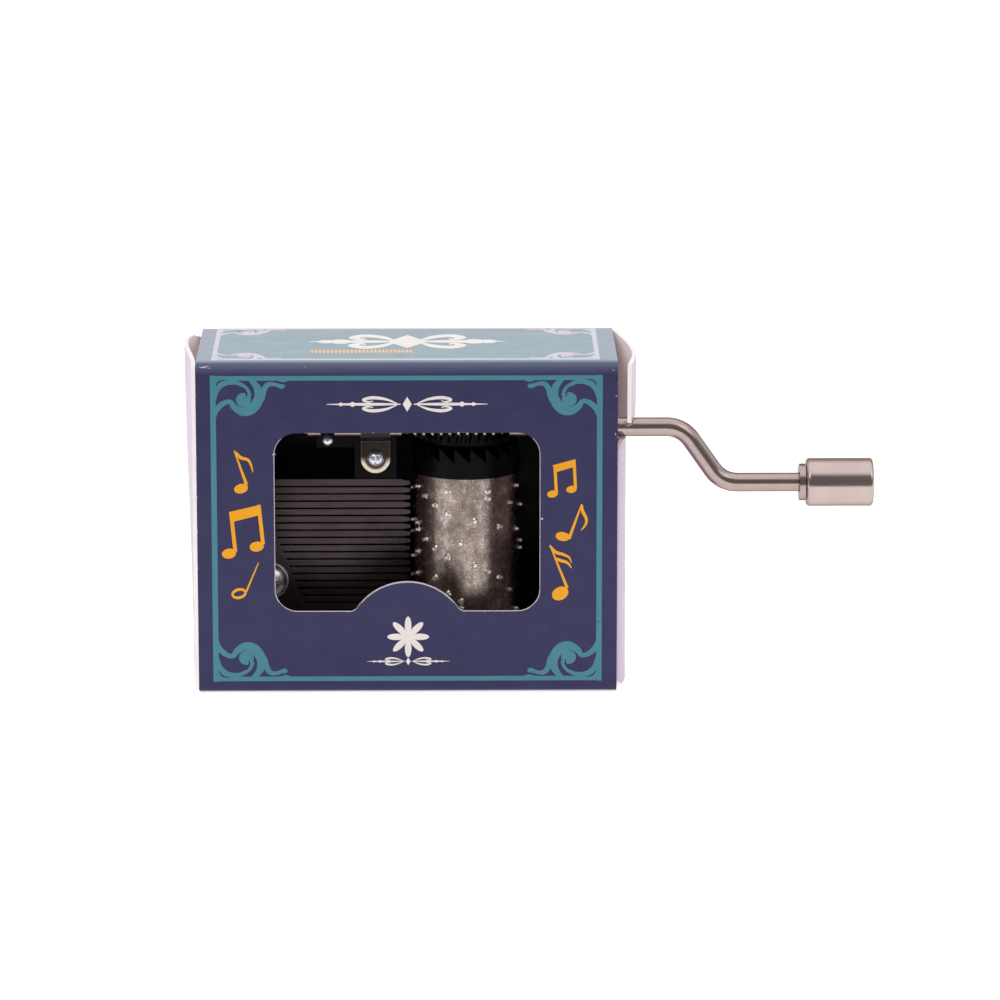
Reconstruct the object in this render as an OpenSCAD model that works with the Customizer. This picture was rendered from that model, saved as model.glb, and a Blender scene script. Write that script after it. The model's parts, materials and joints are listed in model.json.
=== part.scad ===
// Hand-cranked 18-note cylinder movement in a printed board carton.
// X runs along the crank shaft, with the handle at +X. Y runs from the front to the back. Z is up.
// The origin is the centre of the carton's underside.

/* [Carton] */
// Width of the carton, along the crank shaft
carton_w = 53; // [52:0.5:60]
// Depth of the carton, front to back
carton_d = 24; // [23.5:0.5:30]
// Height of the carton
carton_h = 42.5; // [42:0.5:50]
// Thickness of the board
board_t = 0.5; // [0.3:0.05:0.6]
// Outside radius of the long folds
fold_r = 0.9; // [0.7:0.1:1.5]
// Width of the glued seam flap, which lies on the carton's floor
seam_w = 8; // [5:0.5:10]

/* [Window] */
// Width of the window
window_w = 33.4; // [28:0.2:36]
// Height of the window
window_h = 23.1; // [20:0.1:24]
// Height of the window's sill above the table
window_z = 10.5; // [9.5:0.1:12]
// Radius of the window's corners
window_r = 2.8; // [1.5:0.1:4]
// Width of the round tab that stands on the sill
tab_w = 13.4; // [10:0.2:15]
// Height of the round tab
tab_h = 3.85; // [2:0.05:5]
// Fillet between the tab and the sill
tab_fillet = 1.2; // [0.5:0.1:2]

/* [End flaps] */
// Length of the tuck tongues
tongue_l = 5; // [3:0.5:5.5]
// How far the left flap bows out at its top
left_bow_top = 1.65; // [0.5:0.05:2]
// How far the left flap bows out at its foot
left_bow_foot = 0.85; // [0.3:0.05:1]
// How far the right flap bows out below the crank
right_bow_low = 0.75; // [0.3:0.05:1]
// How far the loose part of the right flap stands out above the crank
right_bow_high = 2.1; // [1:0.05:2.4]
// Height of the crank slot in the right flap
slot_h = 2.7; // [2.6:0.1:4]
// Length of the dust flaps
dust_l = 15; // [10:0.5:17]
// Space between a flap's edge and the folds beside it
flap_gap = 0.35; // [0.2:0.05:0.6]

/* [Tray] */
// Space between the tray and the carton
tray_gap = 0.3; // [0.2:0.05:0.6]
// Thickness of the tray's rim
rim_t = 1.2; // [0.8:0.1:1.6]
// Height of the rim in front of the tray's floor
rim_h = 7.4; // [4:0.2:9]
// Thickness of the tray's floor
floor_t = 1.8; // [1.5:0.1:2.2]
// Thickness of the two ears that hold the arbor
ear_t = 1.6; // [1:0.1:2]
// Radius of the ears' round ends
ear_r = 3; // [2.4:0.1:4]
// Height of the lower ear above the tray's underside
ear_lift = 4.9; // [3.5:0.1:5.5]
// Thickness of the crank bearing in the tray's right rim
bearing_t = 2.4; // [1.6:0.1:4]
// Radius of the material round the crank bearing
bearing_r = 2.2; // [1.9:0.05:2.4]

/* [Cylinder] */
// Outside radius of the pinned cylinder
cylinder_r = 6.7; // [6:0.1:7]
// Length of the pinned cylinder
cylinder_l = 19.5; // [18:0.1:20]
// Wall of the cylinder tube
cylinder_wall = 0.5; // [0.3:0.05:0.8]
// Height of the cylinder's axis above the tray's floor
axis_lift = 9.4; // [9:0.1:9.8]
// Radius of a pin
pin_r = 0.22; // [0.15:0.01:0.26]
// How far a pin stands out
pin_h = 0.45; // [0.3:0.01:0.6]
// Radius of the arbor
arbor_r = 1; // [0.8:0.05:1.3]

/* [Comb] */
// Spacing of the comb's teeth
tooth_pitch = 0.952; // [0.85:0.001:1]
// Width of the slots between the teeth
tooth_slot = 0.22; // [0.15:0.01:0.3]
// Thickness of the teeth
tooth_t = 0.45; // [0.3:0.05:0.6]
// Length of the shortest tooth
treble_l = 13.7; // [12:0.1:15]
// Length of the longest tooth
bass_l = 19.7; // [17:0.1:20]
// Overall length of the comb
comb_l = 24.3; // [23.5:0.1:25]
// Thickness of the comb's heel
comb_t = 1.5; // [1:0.1:2]
// How far the comb's face stands in front of the cylinder's axis
comb_rise = 1; // [0.6:0.1:1.4]
// Radius of the comb screws' heads
comb_head_r = 2.25; // [1.8:0.05:2.4]

/* [Drive] */
// Number of teeth on the worm wheel
wheel_teeth = 38; // [36:1:40]
// Pitch of the worm
worm_pitch = 1.1; // [1:0.01:1.14]
// Depth of the worm's thread
thread_h = 0.48; // [0.4:0.02:0.56]
// Play between the worm and the wheel, measured along the shaft
backlash = 0.14; // [0.1:0.01:0.2]
// Height of the worm wheel
wheel_h = 6; // [5:0.1:6.4]
// Number of saw teeth on the ratchet collar, a multiple of three
ratchet_teeth = 21; // [18:3:24]
// Height of the saw teeth
ratchet_h = 1.95; // [1.4:0.05:2.2]
// Height of the plain band under the saw teeth
collar_h = 1.95; // [1.4:0.05:2.2]

/* [Crank] */
// Radius of the crank rod
rod_r = 1.2; // [1.1:0.01:1.25]
// Straight length from the carton's end to the first bend
crank_reach = 6.3; // [5:0.1:10]
// Distance from the shaft's axis to the handle's axis
crank_throw = 7.2; // [6.6:0.1:12]
// Angle of the slanting part of the crank
bend_angle = 55; // [45:1:70]
// Radius of the bends, at the rod's axis
bend_r = 3.8; // [3:0.1:4.2]
// Straight length from the second bend to the handle
arm_l = 8.7; // [5:0.1:14]
// Radius of the handle
knob_r = 3.05; // [2.6:0.05:4]
// Length of the handle
knob_l = 8.5; // [6:0.1:12]
// Width of the strap that holds the shaft down
strap_w = 3.7; // [3:0.1:4.4]
// Thickness of the strap
strap_t = 0.5; // [0.3:0.05:0.7]

/* [Hidden] */
$fn = 48;
cut = 1;            // how far a cutter runs past what it cuts
run_gap = 0.05;     // radial clearance of a turning shaft
fit_gap = 0.03;     // radial clearance of a fixed fit
end_gap = 0.1;      // end play of the turning pieces
mesh_gap = 0.05;    // clearance at the roots of the worm and the wheel
pressure_angle = 20;

// Carton
half_w = carton_w / 2;
half_d = carton_d / 2;
floor_z = 2 * board_t;                      // top of the seam flap, where the tray stands
panel_y = half_d - board_t;                 // inner face of the back panel
dust_gap = 2.2;                             // room for the tongue beside a dust flap
dust_slant = 2.5;                           // chamfer on a dust flap's free corners
dust_notch = 1.4;                           // space round the rod in the notched dust flap

// Tray
tray_x = half_w - board_t - tray_gap;
tray_top = carton_h - board_t - tray_gap;
tray_back = half_d - board_t - tray_gap;
tray_front = tray_back - floor_t;           // front face of the tray's floor
tongue_room = 1.1;                          // depth of the rebate behind the tray for the tongue

// Comb and cylinder, set out from the tray's left rim
comb_teeth = 18;
comb_gap = 0.5;
tip_gap = 0.05;
comb_x = -tray_x + rim_t + comb_gap;        // heel edge
tip_x = comb_x + comb_l;
pin_tip_r = cylinder_r + pin_h;
axis_x = tip_x + tip_gap + pin_tip_r;
axis_y = tray_front - axis_lift;
comb_y = axis_y - comb_rise;                // front face of the comb
comb_h = comb_teeth * tooth_pitch;

// Stack along the arbor, from the lower ear up
washer_t = 0.3;
washer_r = 2.2;
cap_t = 0.6;
spigot_h = 2;
hub_r = 2.2;
ear_z = floor_z + ear_lift;                 // top of the lower ear
cap_z = ear_z + washer_t + end_gap;
cylinder_z = cap_z + cap_t;
collar_z = cylinder_z + cylinder_l;
saw_z = collar_z + collar_h;
wheel_z = saw_z + ratchet_h + end_gap;
wheel_top = wheel_z + wheel_h;
upper_ear_z = wheel_top + end_gap + washer_t;
comb_z = cylinder_z + (cylinder_l - comb_h) / 2;
bore_r = arbor_r + run_gap;
inside_r = cylinder_r - cylinder_wall;
collar_r = cylinder_r + 0.15;
saw_r = 4.4;                                // inner radius of the saw teeth
spring_t = 0.25;
spring_in = saw_r + 0.3;
spring_out = saw_r + 1.6;

// Worm and wheel
wheel_r = wheel_teeth * worm_pitch / 360 * 180 / PI;   // pitch radius
worm_r = rod_r - thread_h / 2;
worm_root = rod_r - thread_h;
centre_distance = wheel_r + worm_r;
tooth_half = (worm_pitch - backlash) / 4;   // half a tooth, at the pitch line
plain_rim = 0.6;                            // toothless rim at the wheel's foot
turns_left = 7.5;
turns_right = 4;
turn_steps = 18;
rod_y = axis_y - centre_distance;
rod_z = wheel_z + wheel_h / 2;

// Shaft bearings
strap_span = 11.5;                          // from the cylinder's axis to the strap
groove_span = 6.05;                         // from the strap to the retaining groove
strap_x = axis_x - strap_span;
strap_foot = 5.8;                           // from the shaft's axis to the strap's round end
strap_hook = 3.7;                           // from the shaft's axis to the hooked end
strap_screw_drop = 3.9;
strap_screw_r = 0.6;
strap_head_r = 1.15;
strap_head_h = 0.75;
block_margin = 0.8;
groove_w = 1.8;
groove_r = 0.7;
groove_x = strap_x - groove_span;
stop_r = 0.65;                              // the retaining pin
stop_z = rod_z - groove_r - stop_r - run_gap;
rod_tail = 1.6;                             // rod left of the groove
rod_left = groove_x - groove_w / 2 - rod_tail;
block_hole = 5;                             // depth of the blind screw and pin holes

// Crank
bend_start = half_w + crank_reach;
slant_l = (crank_throw - 2 * bend_r * (1 - cos(bend_angle))) / sin(bend_angle);
bend_end = bend_start + 2 * bend_r * sin(bend_angle) + slant_l * cos(bend_angle);
handle_z = rod_z - crank_throw;
ferrule_t = 0.75;
ferrule_r = 2.35;
knob_x = bend_end + arm_l;
knob_edge = 0.45;
recess_r = 2.1;
recess_l = 1.1;
rivet_r = 1.8;
rivet_t = 0.7;

// ---------- helpers ----------

function smooth(t) = let (u = min(max(t, 0), 1)) u * u * (3 - 2 * u);

module along_x(x0, x1, r) {
    translate([x0, 0, 0]) rotate([0, 90, 0]) cylinder(h = x1 - x0, r = r);
}

module along_y(y0, y1, r) {
    translate([0, y1, 0]) rotate([90, 0, 0]) cylinder(h = y1 - y0, r = r);
}

// A shape drawn in x and z, extruded from y0 to y1
module plate_y(y0, y1) {
    translate([0, y1, 0]) rotate([90, 0, 0]) linear_extrude(y1 - y0) children();
}

// A shape drawn in y and z, extruded from x0 to x1
module plate_x(x0, x1) {
    translate([x0, 0, 0]) rotate([90, 0, 90]) linear_extrude(x1 - x0) children();
}

module rounded_rect(w, h, r) {
    square([w - 2 * r, h], center = true);
    square([w, h - 2 * r], center = true);
    for (x = [-1, 1], y = [-1, 1])
        translate([x * (w / 2 - r), y * (h / 2 - r)]) circle(r);
}

// A domed button, its flat side at y = 0 and its crown towards the front
module dome_y(r, h) {
    ball_r = (r * r + h * h) / (2 * h);
    rotate([90, 0, 0]) rotate_extrude()
        intersection() {
            translate([0, h - ball_r]) circle(ball_r, $fn = 96);
            square([r, h]);
        }
}

// ---------- carton ----------

module sleeve_section() {
    translate([0, carton_h / 2]) difference() {
        rounded_rect(carton_d, carton_h, fold_r);
        rounded_rect(carton_d - 2 * board_t, carton_h - 2 * board_t, max(fold_r - board_t, 0.1));
    }
}

// The round tab that stands on the sill, with a fillet at each foot. The fillets cut a hair deep,
// so that the arcs cross and don't just touch.
module window_tab() {
    nip = 0.02;
    r = (tab_w * tab_w / 4 + tab_h * tab_h) / (2 * tab_h);
    centre_z = window_z + tab_h - r;
    reach = r + tab_fillet - nip;
    fillet_z = window_z + tab_fillet - nip;
    foot_x = sqrt(reach * reach - (fillet_z - centre_z) * (fillet_z - centre_z));
    translate([0, centre_z]) circle(r, $fn = 96);
    for (side = [-1, 1]) difference() {
        polygon([[0, window_z - r], [side * foot_x, window_z - r], [side * foot_x, fillet_z], [0, centre_z]]);
        translate([side * foot_x, fillet_z]) circle(tab_fillet);
    }
}

module window_outline() {
    difference() {
        translate([0, window_z + window_h / 2]) rounded_rect(window_w, window_h, window_r);
        window_tab();
    }
}

module seam_flap() {
    slant = seam_w / 4;
    end = half_w - board_t;
    glued = board_t / 5;                    // how far the flap sinks into the panels it is one with
    translate([0, 0, board_t - glued]) linear_extrude(board_t + glued)
        polygon([[-end, panel_y + glued], [-end, panel_y], [-end + slant, panel_y - seam_w],
                 [end - slant, panel_y - seam_w], [end, panel_y], [end, panel_y + glued]]);
}

module carton_sleeve() {
    color("#403d5e") {
        difference() {
            plate_x(-half_w, half_w) sleeve_section();
            plate_y(-half_d - cut, -half_d + board_t + cut) window_outline();
        }
        seam_flap();
    }
}

// A thin sheet between two grids of points, rows going up and columns going away from the crease
module sheet(outer, inner) {
    m = len(outer);
    n = len(outer[0]);
    quad = function(a, b, c, d) [[a, b, c], [a, c, d]];
    o = function(r, c) r * n + c;
    i = function(r, c) (m + r) * n + c;
    polyhedron(
        points = concat([for (row = outer) each row], [for (row = inner) each row]),
        faces = [
            for (r = [0 : m - 2], c = [0 : n - 2])
                each concat(quad(o(r, c), o(r, c + 1), o(r + 1, c + 1), o(r + 1, c)),
                            quad(i(r, c), i(r + 1, c), i(r + 1, c + 1), i(r, c + 1))),
            for (c = [0 : n - 2])
                each concat(quad(o(0, c), i(0, c), i(0, c + 1), o(0, c + 1)),
                            quad(o(m - 1, c), o(m - 1, c + 1), i(m - 1, c + 1), i(m - 1, c))),
            for (r = [0 : m - 2])
                each concat(quad(o(r, 0), o(r + 1, 0), i(r + 1, 0), i(r, 0)),
                            quad(o(r, n - 1), i(r, n - 1), i(r + 1, n - 1), o(r + 1, n - 1)))
        ]);
}

// A flap's outer face in plan, as points of distance from the crease and distance out
function unit(v) = v / norm(v);
function inward(path, k) =
    let (before = k > 0 ? unit(path[k] - path[k - 1]) : unit(path[1] - path[0]),
         after = k < len(path) - 1 ? unit(path[k + 1] - path[k]) : before,
         mean = unit(before + after))
    [mean[1], -mean[0]] / (mean * before);

// A sheet whose outer face follows path(z) at each height; height_at(z, k) places its kth column
module flap_sheet(heights, path, height_at) {
    rows = [for (z = heights) path(z)];
    sheet([for (r = [0 : len(heights) - 1]) [for (k = [0 : len(rows[r]) - 1])
               [-rows[r][k][1], rows[r][k][0], height_at(heights[r], k)]]],
          [for (r = [0 : len(heights) - 1]) [for (k = [0 : len(rows[r]) - 1])
               let (p = rows[r][k] + board_t * inward(rows[r], k))
               [-p[1], p[0], height_at(heights[r], k)]]]);
}

crease_gap = 0.08;                          // space between a tongue and the panel it tucks behind
reach_s = carton_d - board_t - crease_gap;  // the furthest that a tucked tongue reaches
panel_s = reach_s - 0.5;                    // where the panel starts to fold over
peak_s = 0.75 * carton_d;                   // where a tucked flap bows out most
panel_steps = 12;
tongue_steps = 3;

function tucked_bow(s, bow) = s < peak_s
    ? bow * (1 - cos(180 * s / peak_s)) / 2
    : bow - (bow + board_t / 2) * pow((s - peak_s) / (panel_s - peak_s), 2);

function tongue_path() = [for (k = [0 : tongue_steps])
    let (d = board_t / 2 + (tongue_l - board_t / 2) * k / tongue_steps)
    [sqrt(reach_s * reach_s - tongue_l * tongue_l * k / tongue_steps), -d]];

function tucked_path(bow) = concat(
    [for (k = [0 : panel_steps]) let (s = panel_s * k / panel_steps) [s, board_t + tucked_bow(s, bow)]],
    tongue_path());

// Heights shrink from where the flap folds over, so that it enters between the top and the bottom
// panel and the tongue's corners are cut back
shoulder = 0.6;
tongue_taper = 2.4;

function tongue_height(z, k, low, high) =
    let (u = max(k - panel_steps + 1, 0) / (tongue_steps + 2), mid = (low + high) / 2,
         half = (high - low) / 2)
    mid + (z - mid) * (half - (u > 0 ? shoulder : 0) - tongue_taper * u * u) / half;

module left_end_flap() {
    low = flap_gap;
    high = carton_h - flap_gap;
    rows = 6;
    color("#e6dcea") translate([-half_w, -half_d, 0])
        flap_sheet([for (r = [0 : rows]) low + (high - low) * r / rows],
                   function(z) tucked_path(left_bow_foot
                       + (left_bow_top - left_bow_foot) * smooth((z - low) / (high - low))),
                   function(z, k) tongue_height(z, k, low, high));
}

// Below the crank slot the right flap is tucked in; above it the flap stands out with a free edge
slot_low = rod_z - slot_h / 2;
slot_high = rod_z + slot_h / 2;
slot_s = half_d - rod_y - rod_r - 0.2;      // the slot's blind end, seen from the crease
loose_s = carton_d - flap_gap;
loose_peak = 0.7 * carton_d;
loose_return = 0.9;                         // how far the loose edge comes back in
twist_h = 12;                               // height over which the flap warps, at its crease

function loose_bow(s) = s < loose_peak
    ? right_bow_high * sin(90 * s / loose_peak)
    : right_bow_high - loose_return * (s - loose_peak) / (loose_s - loose_peak);

function right_bow(s, z) =
    let (span = slot_h + (twist_h - slot_h) * max(1 - s / slot_s, 0),
         mix = smooth((z - rod_z) / span + 0.5))
    tucked_bow(s, right_bow_low) * (1 - mix) + loose_bow(s) * mix;

// Distances from the crease at which the flap's curve is drawn, with one at the slot's end
function stations(s_end) = concat([for (k = [0 : 8]) slot_s * k / 8],
                                  [for (k = [1 : 4]) slot_s + (s_end - slot_s) * k / 4]);

module right_end_flap() {
    low = flap_gap;
    high = carton_h - flap_gap;
    panel = function(z, s_end) [for (s = stations(s_end)) [s, board_t + right_bow(s, z)]];
    color("#d2c3d6") rotate([0, 0, 180]) translate([-half_w, -half_d, 0]) {
        flap_sheet([for (k = [0 : 5]) low + (slot_low - low) * k / 5],
                   function(z) concat(panel(z, panel_s), tongue_path()),
                   function(z, k) tongue_height(z, k, low, slot_low));
        flap_sheet([for (k = [0 : 2]) slot_low + slot_h * k / 2],
                   function(z) [for (k = [0 : 8]) let (s = slot_s * k / 8)
                                   [s, board_t + right_bow(s, z)]],
                   function(z, k) z);
        flap_sheet([for (k = [0 : 4]) slot_high + (high - slot_high) * k / 4],
                   function(z) panel(z, loose_s),
                   function(z, k) z);
    }
}

// A dust flap in the end plane, hanging from the top panel or standing on the floor panel
module dust_flap(side, up, y0, y1) {
    z0 = up > 0 ? carton_h - board_t : board_t;
    x = side * (half_w - board_t / 2);
    plate_x(x - board_t / 2, x + board_t / 2)
        polygon([[y0, z0], [y0, z0 - up * (dust_l - dust_slant)], [y0 + dust_slant, z0 - up * dust_l],
                 [y1 - dust_slant, z0 - up * dust_l], [y1, z0 - up * (dust_l - dust_slant)], [y1, z0]]);
}

module left_upper_dust_flap()
    color("#cbbcc0") dust_flap(-1, 1, -panel_y + flap_gap, panel_y - dust_gap);

module left_lower_dust_flap()
    color("#cbbcc0") dust_flap(-1, -1, -panel_y + flap_gap, panel_y - dust_gap);

module right_upper_dust_flap()
    color("#cbbcc0") difference() {
        dust_flap(1, 1, -panel_y + dust_gap, panel_y - flap_gap);
        translate([0, rod_y, rod_z]) along_x(0, carton_w, rod_r + dust_notch);
        translate([0, -half_d, rod_z - carton_h])
            cube([carton_w, rod_y + half_d + rod_r + dust_notch, carton_h]);
    }

module right_lower_dust_flap()
    color("#cbbcc0") dust_flap(1, -1, -panel_y + dust_gap, panel_y - flap_gap);

// ---------- tray ----------

// Where a slot between two teeth ends, by its number from the treble side
function slot_end(k) = tip_x - treble_l - (bass_l - treble_l) * (k - 1) / (comb_teeth - 2);

// The two comb screws stand on a line beside the slots' ends
screw_setback = 3.2;
comb_screw_r = 0.8;
screw_spots = [for (f = [0.23, 0.78]) [slot_end(f * comb_teeth) - screw_setback, comb_z + f * comb_h]];

module ear(z0) {
    translate([axis_x, 0, z0]) difference() {
        linear_extrude(ear_t) {
            translate([0, axis_y]) circle(ear_r);
            translate([-ear_r, axis_y]) square([2 * ear_r, tray_front - axis_y + floor_t / 2]);
        }
        translate([0, axis_y, -cut]) cylinder(h = ear_t + 2 * cut, r = arbor_r + fit_gap);
    }
}

// The anvil under the comb's heel, its right side slanting with the slots' ends
module comb_anvil() {
    setback = 1;
    difference() {
        plate_y(comb_y + comb_t, tray_front + floor_t / 2)
            polygon([[comb_x, comb_z], [slot_end(0) - setback, comb_z],
                     [slot_end(comb_teeth) - setback, comb_z + comb_h], [comb_x, comb_z + comb_h]]);
        for (p = screw_spots) translate([p[0], 0, p[1]])
            along_y(comb_y, comb_y + comb_t + block_hole, comb_screw_r + fit_gap);
    }
}

// The block that carries the shaft's free end, open at the front under the strap
module shaft_block() {
    half_block = strap_w / 2 + block_margin;
    face = rod_y + rod_r + end_gap;
    boss_w = groove_x - stop_r - block_margin;
    difference() {
        union() {
            translate([strap_x - half_block, rod_y, rod_z - strap_foot - block_margin])
                cube([2 * half_block, tray_front + floor_t / 2 - rod_y,
                      strap_foot + strap_hook + 2 * block_margin]);
            translate([boss_w, face, stop_z - stop_r - block_margin])
                cube([strap_x - boss_w, tray_front + floor_t / 2 - face,
                      2 * stop_r + rod_r + 2 * block_margin]);
        }
        translate([0, rod_y, rod_z]) along_x(rod_left - cut, strap_x + strap_w, rod_r + run_gap);
        translate([strap_x, 0, rod_z - strap_screw_drop])
            along_y(rod_y - cut, rod_y + block_hole, strap_screw_r + fit_gap);
        translate([groove_x, 0, stop_z]) along_y(face - cut, face + block_hole, stop_r + fit_gap);
        translate([strap_x - strap_w / 2 - fit_gap, rod_y - cut, rod_z + strap_hook - strap_t - fit_gap])
            cube([strap_w + 2 * fit_gap, cut + hook_l + fit_gap, strap_t + 2 * fit_gap]);
    }
}

module bearing_post() {
    difference() {
        plate_x(tray_x - bearing_t, tray_x) {
            translate([rod_y, rod_z]) circle(bearing_r);
            translate([rod_y, rod_z - bearing_r])
                square([tray_front + floor_t / 2 - rod_y, 2 * bearing_r]);
        }
        translate([0, rod_y, rod_z]) along_x(tray_x - bearing_t - cut, tray_x + cut, rod_r + run_gap);
    }
}

module bedplate() {
    mid_z = (floor_z + tray_top) / 2;
    tray_h = tray_top - floor_z;
    corner = 1.5;
    tongue_x = -half_w + tongue_l + 1;
    color("#161416") difference() {
        union() {
            plate_y(tray_front, tray_back) translate([0, mid_z]) rounded_rect(2 * tray_x, tray_h, corner);
            plate_y(tray_front - rim_h, tray_front) translate([0, mid_z]) difference() {
                rounded_rect(2 * tray_x, tray_h, corner);
                rounded_rect(2 * (tray_x - rim_t), tray_h - 2 * rim_t, corner - rim_t / 2);
            }
            ear(ear_z - ear_t);
            ear(upper_ear_z);
            comb_anvil();
            shaft_block();
            bearing_post();
        }
        translate([-tray_x - cut, tray_back - tongue_room, floor_z - cut])
            cube([tongue_x + tray_x + cut, tongue_room + cut, tray_h + 2 * cut]);
    }
}

// ---------- comb ----------

tip_taper = 0.9;                            // length of the narrowed tips
tip_w = 0.42;
weight_l = 2.6;                             // length of the tuning weights under the teeth
weight_t = 1.5;                             // how far the bass weight stands out
weight_step = 0.075;                        // how much smaller each next weight is
weight_setback = 1;
grind_setback = 1.2;                        // from the slots' ends to where the teeth get thin

module comb_face() {
    difference() {
        translate([comb_x, comb_z]) square([comb_l - tip_taper, comb_h]);
        for (k = [1 : comb_teeth - 1])
            translate([slot_end(k), comb_z + k * tooth_pitch - tooth_slot / 2])
                square([comb_l, tooth_slot]);
    }
    for (k = [0 : comb_teeth - 1]) {
        z = comb_z + (k + 0.5) * tooth_pitch;
        half_root = (tooth_pitch - tooth_slot) / 2;
        polygon([[tip_x - tip_taper, z - half_root], [tip_x, z - tip_w / 2],
                 [tip_x, z + tip_w / 2], [tip_x - tip_taper, z + half_root]]);
    }
}

module comb() {
    weight_x = tip_x - tip_taper - weight_setback;
    color("#5a514f") {
        difference() {
            plate_y(comb_y, comb_y + comb_t) comb_face();
            plate_y(comb_y + tooth_t, comb_y + comb_t + cut)
                polygon([[slot_end(0) + grind_setback, comb_z - cut], [tip_x + cut, comb_z - cut],
                         [tip_x + cut, comb_z + comb_h + cut],
                         [slot_end(comb_teeth) + grind_setback, comb_z + comb_h + cut]]);
            for (p = screw_spots) translate([p[0], 0, p[1]])
                along_y(comb_y - cut, comb_y + comb_t + cut, comb_screw_r + run_gap);
        }
        for (k = [0 : comb_teeth - 1]) {
            h = weight_t - weight_step * (comb_teeth - 1 - k);
            translate([weight_x - weight_l, comb_y + tooth_t, comb_z + k * tooth_pitch + tooth_slot / 2])
                cube([weight_l, h, tooth_pitch - tooth_slot]);
        }
    }
}

comb_washer_t = 0.4;
comb_washer_r = comb_head_r + 0.2;
comb_head_h = 1.3;
comb_screw_l = 5;
cross_w = 0.45;                             // width of the cross recess's arms
cross_l = 2.2;
cross_depth = 0.7;

module comb_washers() {
    color("#c9c9cc") for (p = screw_spots) translate([p[0], 0, p[1]]) difference() {
        along_y(comb_y - comb_washer_t, comb_y, comb_washer_r);
        along_y(comb_y - comb_washer_t - cut, comb_y + cut, comb_screw_r + run_gap);
    }
}

module cross_recess(y0, depth, length, width) {
    for (a = [0, 90]) translate([0, y0, 0]) rotate([0, a, 0])
        translate([-length / 2, -cut, -width / 2]) cube([length, depth + cut, width]);
}

// A pan-head screw whose head lies on the plane y = 0, its shank to the back
module pan_screw(head_r, head_h, shank_r, shank_l, cross) {
    difference() {
        union() {
            dome_y(head_r, head_h);
            along_y(-head_h / 3, shank_l, shank_r);
        }
        cross_recess(-head_h, cross * cross_depth, cross * cross_l, cross * cross_w);
    }
}

module comb_screws() {
    color("#d6d6da") for (p = screw_spots) translate([p[0], comb_y - comb_washer_t, p[1]])
        pan_screw(comb_head_r, comb_head_h, comb_screw_r, comb_screw_l, 1);
}

// ---------- cylinder ----------

// The tune: for each tooth from the treble side, the steps of the turn at which it is plucked
tune_steps = 24;
tune_start = -171;                          // angle of step 0 round the axis, from +X
tune = [[10, 14, 20], [5, 16, 22], [0, 5, 13, 19], [4, 9, 17, 21], [15, 18, 23], [1, 3, 8, 14, 20],
        [7, 16, 22], [0, 6, 13, 19], [1, 4, 11, 18], [3, 11, 17, 21], [2, 5, 14, 23],
        [1, 10, 15, 20], [0, 1, 8, 19], [6, 13, 16, 22], [4, 11, 18], [3, 9, 14, 21],
        [2, 7, 17, 23], [1, 4, 7, 10, 15, 20]];

module pinned_cylinder() {
    pin_root = (inside_r + cylinder_r) / 2;
    color("#b9aca4") translate([axis_x, axis_y, 0]) {
        translate([0, 0, cylinder_z]) difference() {
            cylinder(h = cylinder_l, r = cylinder_r, $fn = 96);
            translate([0, 0, -cut]) cylinder(h = cylinder_l + 2 * cut, r = inside_r, $fn = 96);
        }
        for (k = [0 : comb_teeth - 1], s = tune[k])
            translate([0, 0, comb_z + (k + 0.5) * tooth_pitch])
                rotate([0, 0, tune_start + s * 360 / tune_steps])
                    along_x(pin_root, pin_tip_r, pin_r, $fn = 16);
    }
}

module cylinder_end_cap() {
    color("#1d1b1d") translate([axis_x, axis_y, cap_z]) difference() {
        union() {
            cylinder(h = cap_t, r = cylinder_r);
            cylinder(h = cap_t + spigot_h, r = inside_r - fit_gap);
        }
        translate([0, 0, -cut]) cylinder(h = cap_t + spigot_h + 2 * cut, r = bore_r);
    }
}

// A saw tooth, its steep face radial and its slope falling away from it
saw_l = collar_r * tan(360 / ratchet_teeth);

module saw_tooth() {
    inner = saw_r - 0.4;
    outer = collar_r + 0.3;
    foot = saw_z - collar_h / 2;
    translate([inner, 0, 0]) rotate([90, 0, 90]) linear_extrude(outer - inner)
        polygon([[0, foot], [saw_l, foot], [saw_l, saw_z], [0, saw_z + ratchet_h]]);
}

module ratchet_collar() {
    color("#1b191b") translate([axis_x, axis_y, 0]) difference() {
        union() {
            translate([0, 0, collar_z - spigot_h])
                cylinder(h = spigot_h + collar_h / 2, r = inside_r - fit_gap);
            translate([0, 0, collar_z]) cylinder(h = collar_h, r = collar_r, $fn = 96);
            intersection() {
                for (k = [0 : ratchet_teeth - 1]) rotate([0, 0, k * 360 / ratchet_teeth]) saw_tooth();
                translate([0, 0, saw_z - collar_h]) difference() {
                    cylinder(h = collar_h + ratchet_h + cut, r = collar_r, $fn = 96);
                    translate([0, 0, -cut]) cylinder(h = collar_h + ratchet_h + 3 * cut, r = saw_r);
                }
            }
            translate([0, 0, collar_z]) cylinder(h = collar_h + ratchet_h, r = hub_r);
        }
        translate([0, 0, collar_z - spigot_h - cut])
            cylinder(h = spigot_h + collar_h + ratchet_h + 2 * cut, r = bore_r);
    }
}

// Three fingers of the click spring lie along the slopes of three saw teeth, a third of a turn apart
finger_first = 4;                           // the saw tooth under the first finger
spring_z = wheel_z + fit_gap;

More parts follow.
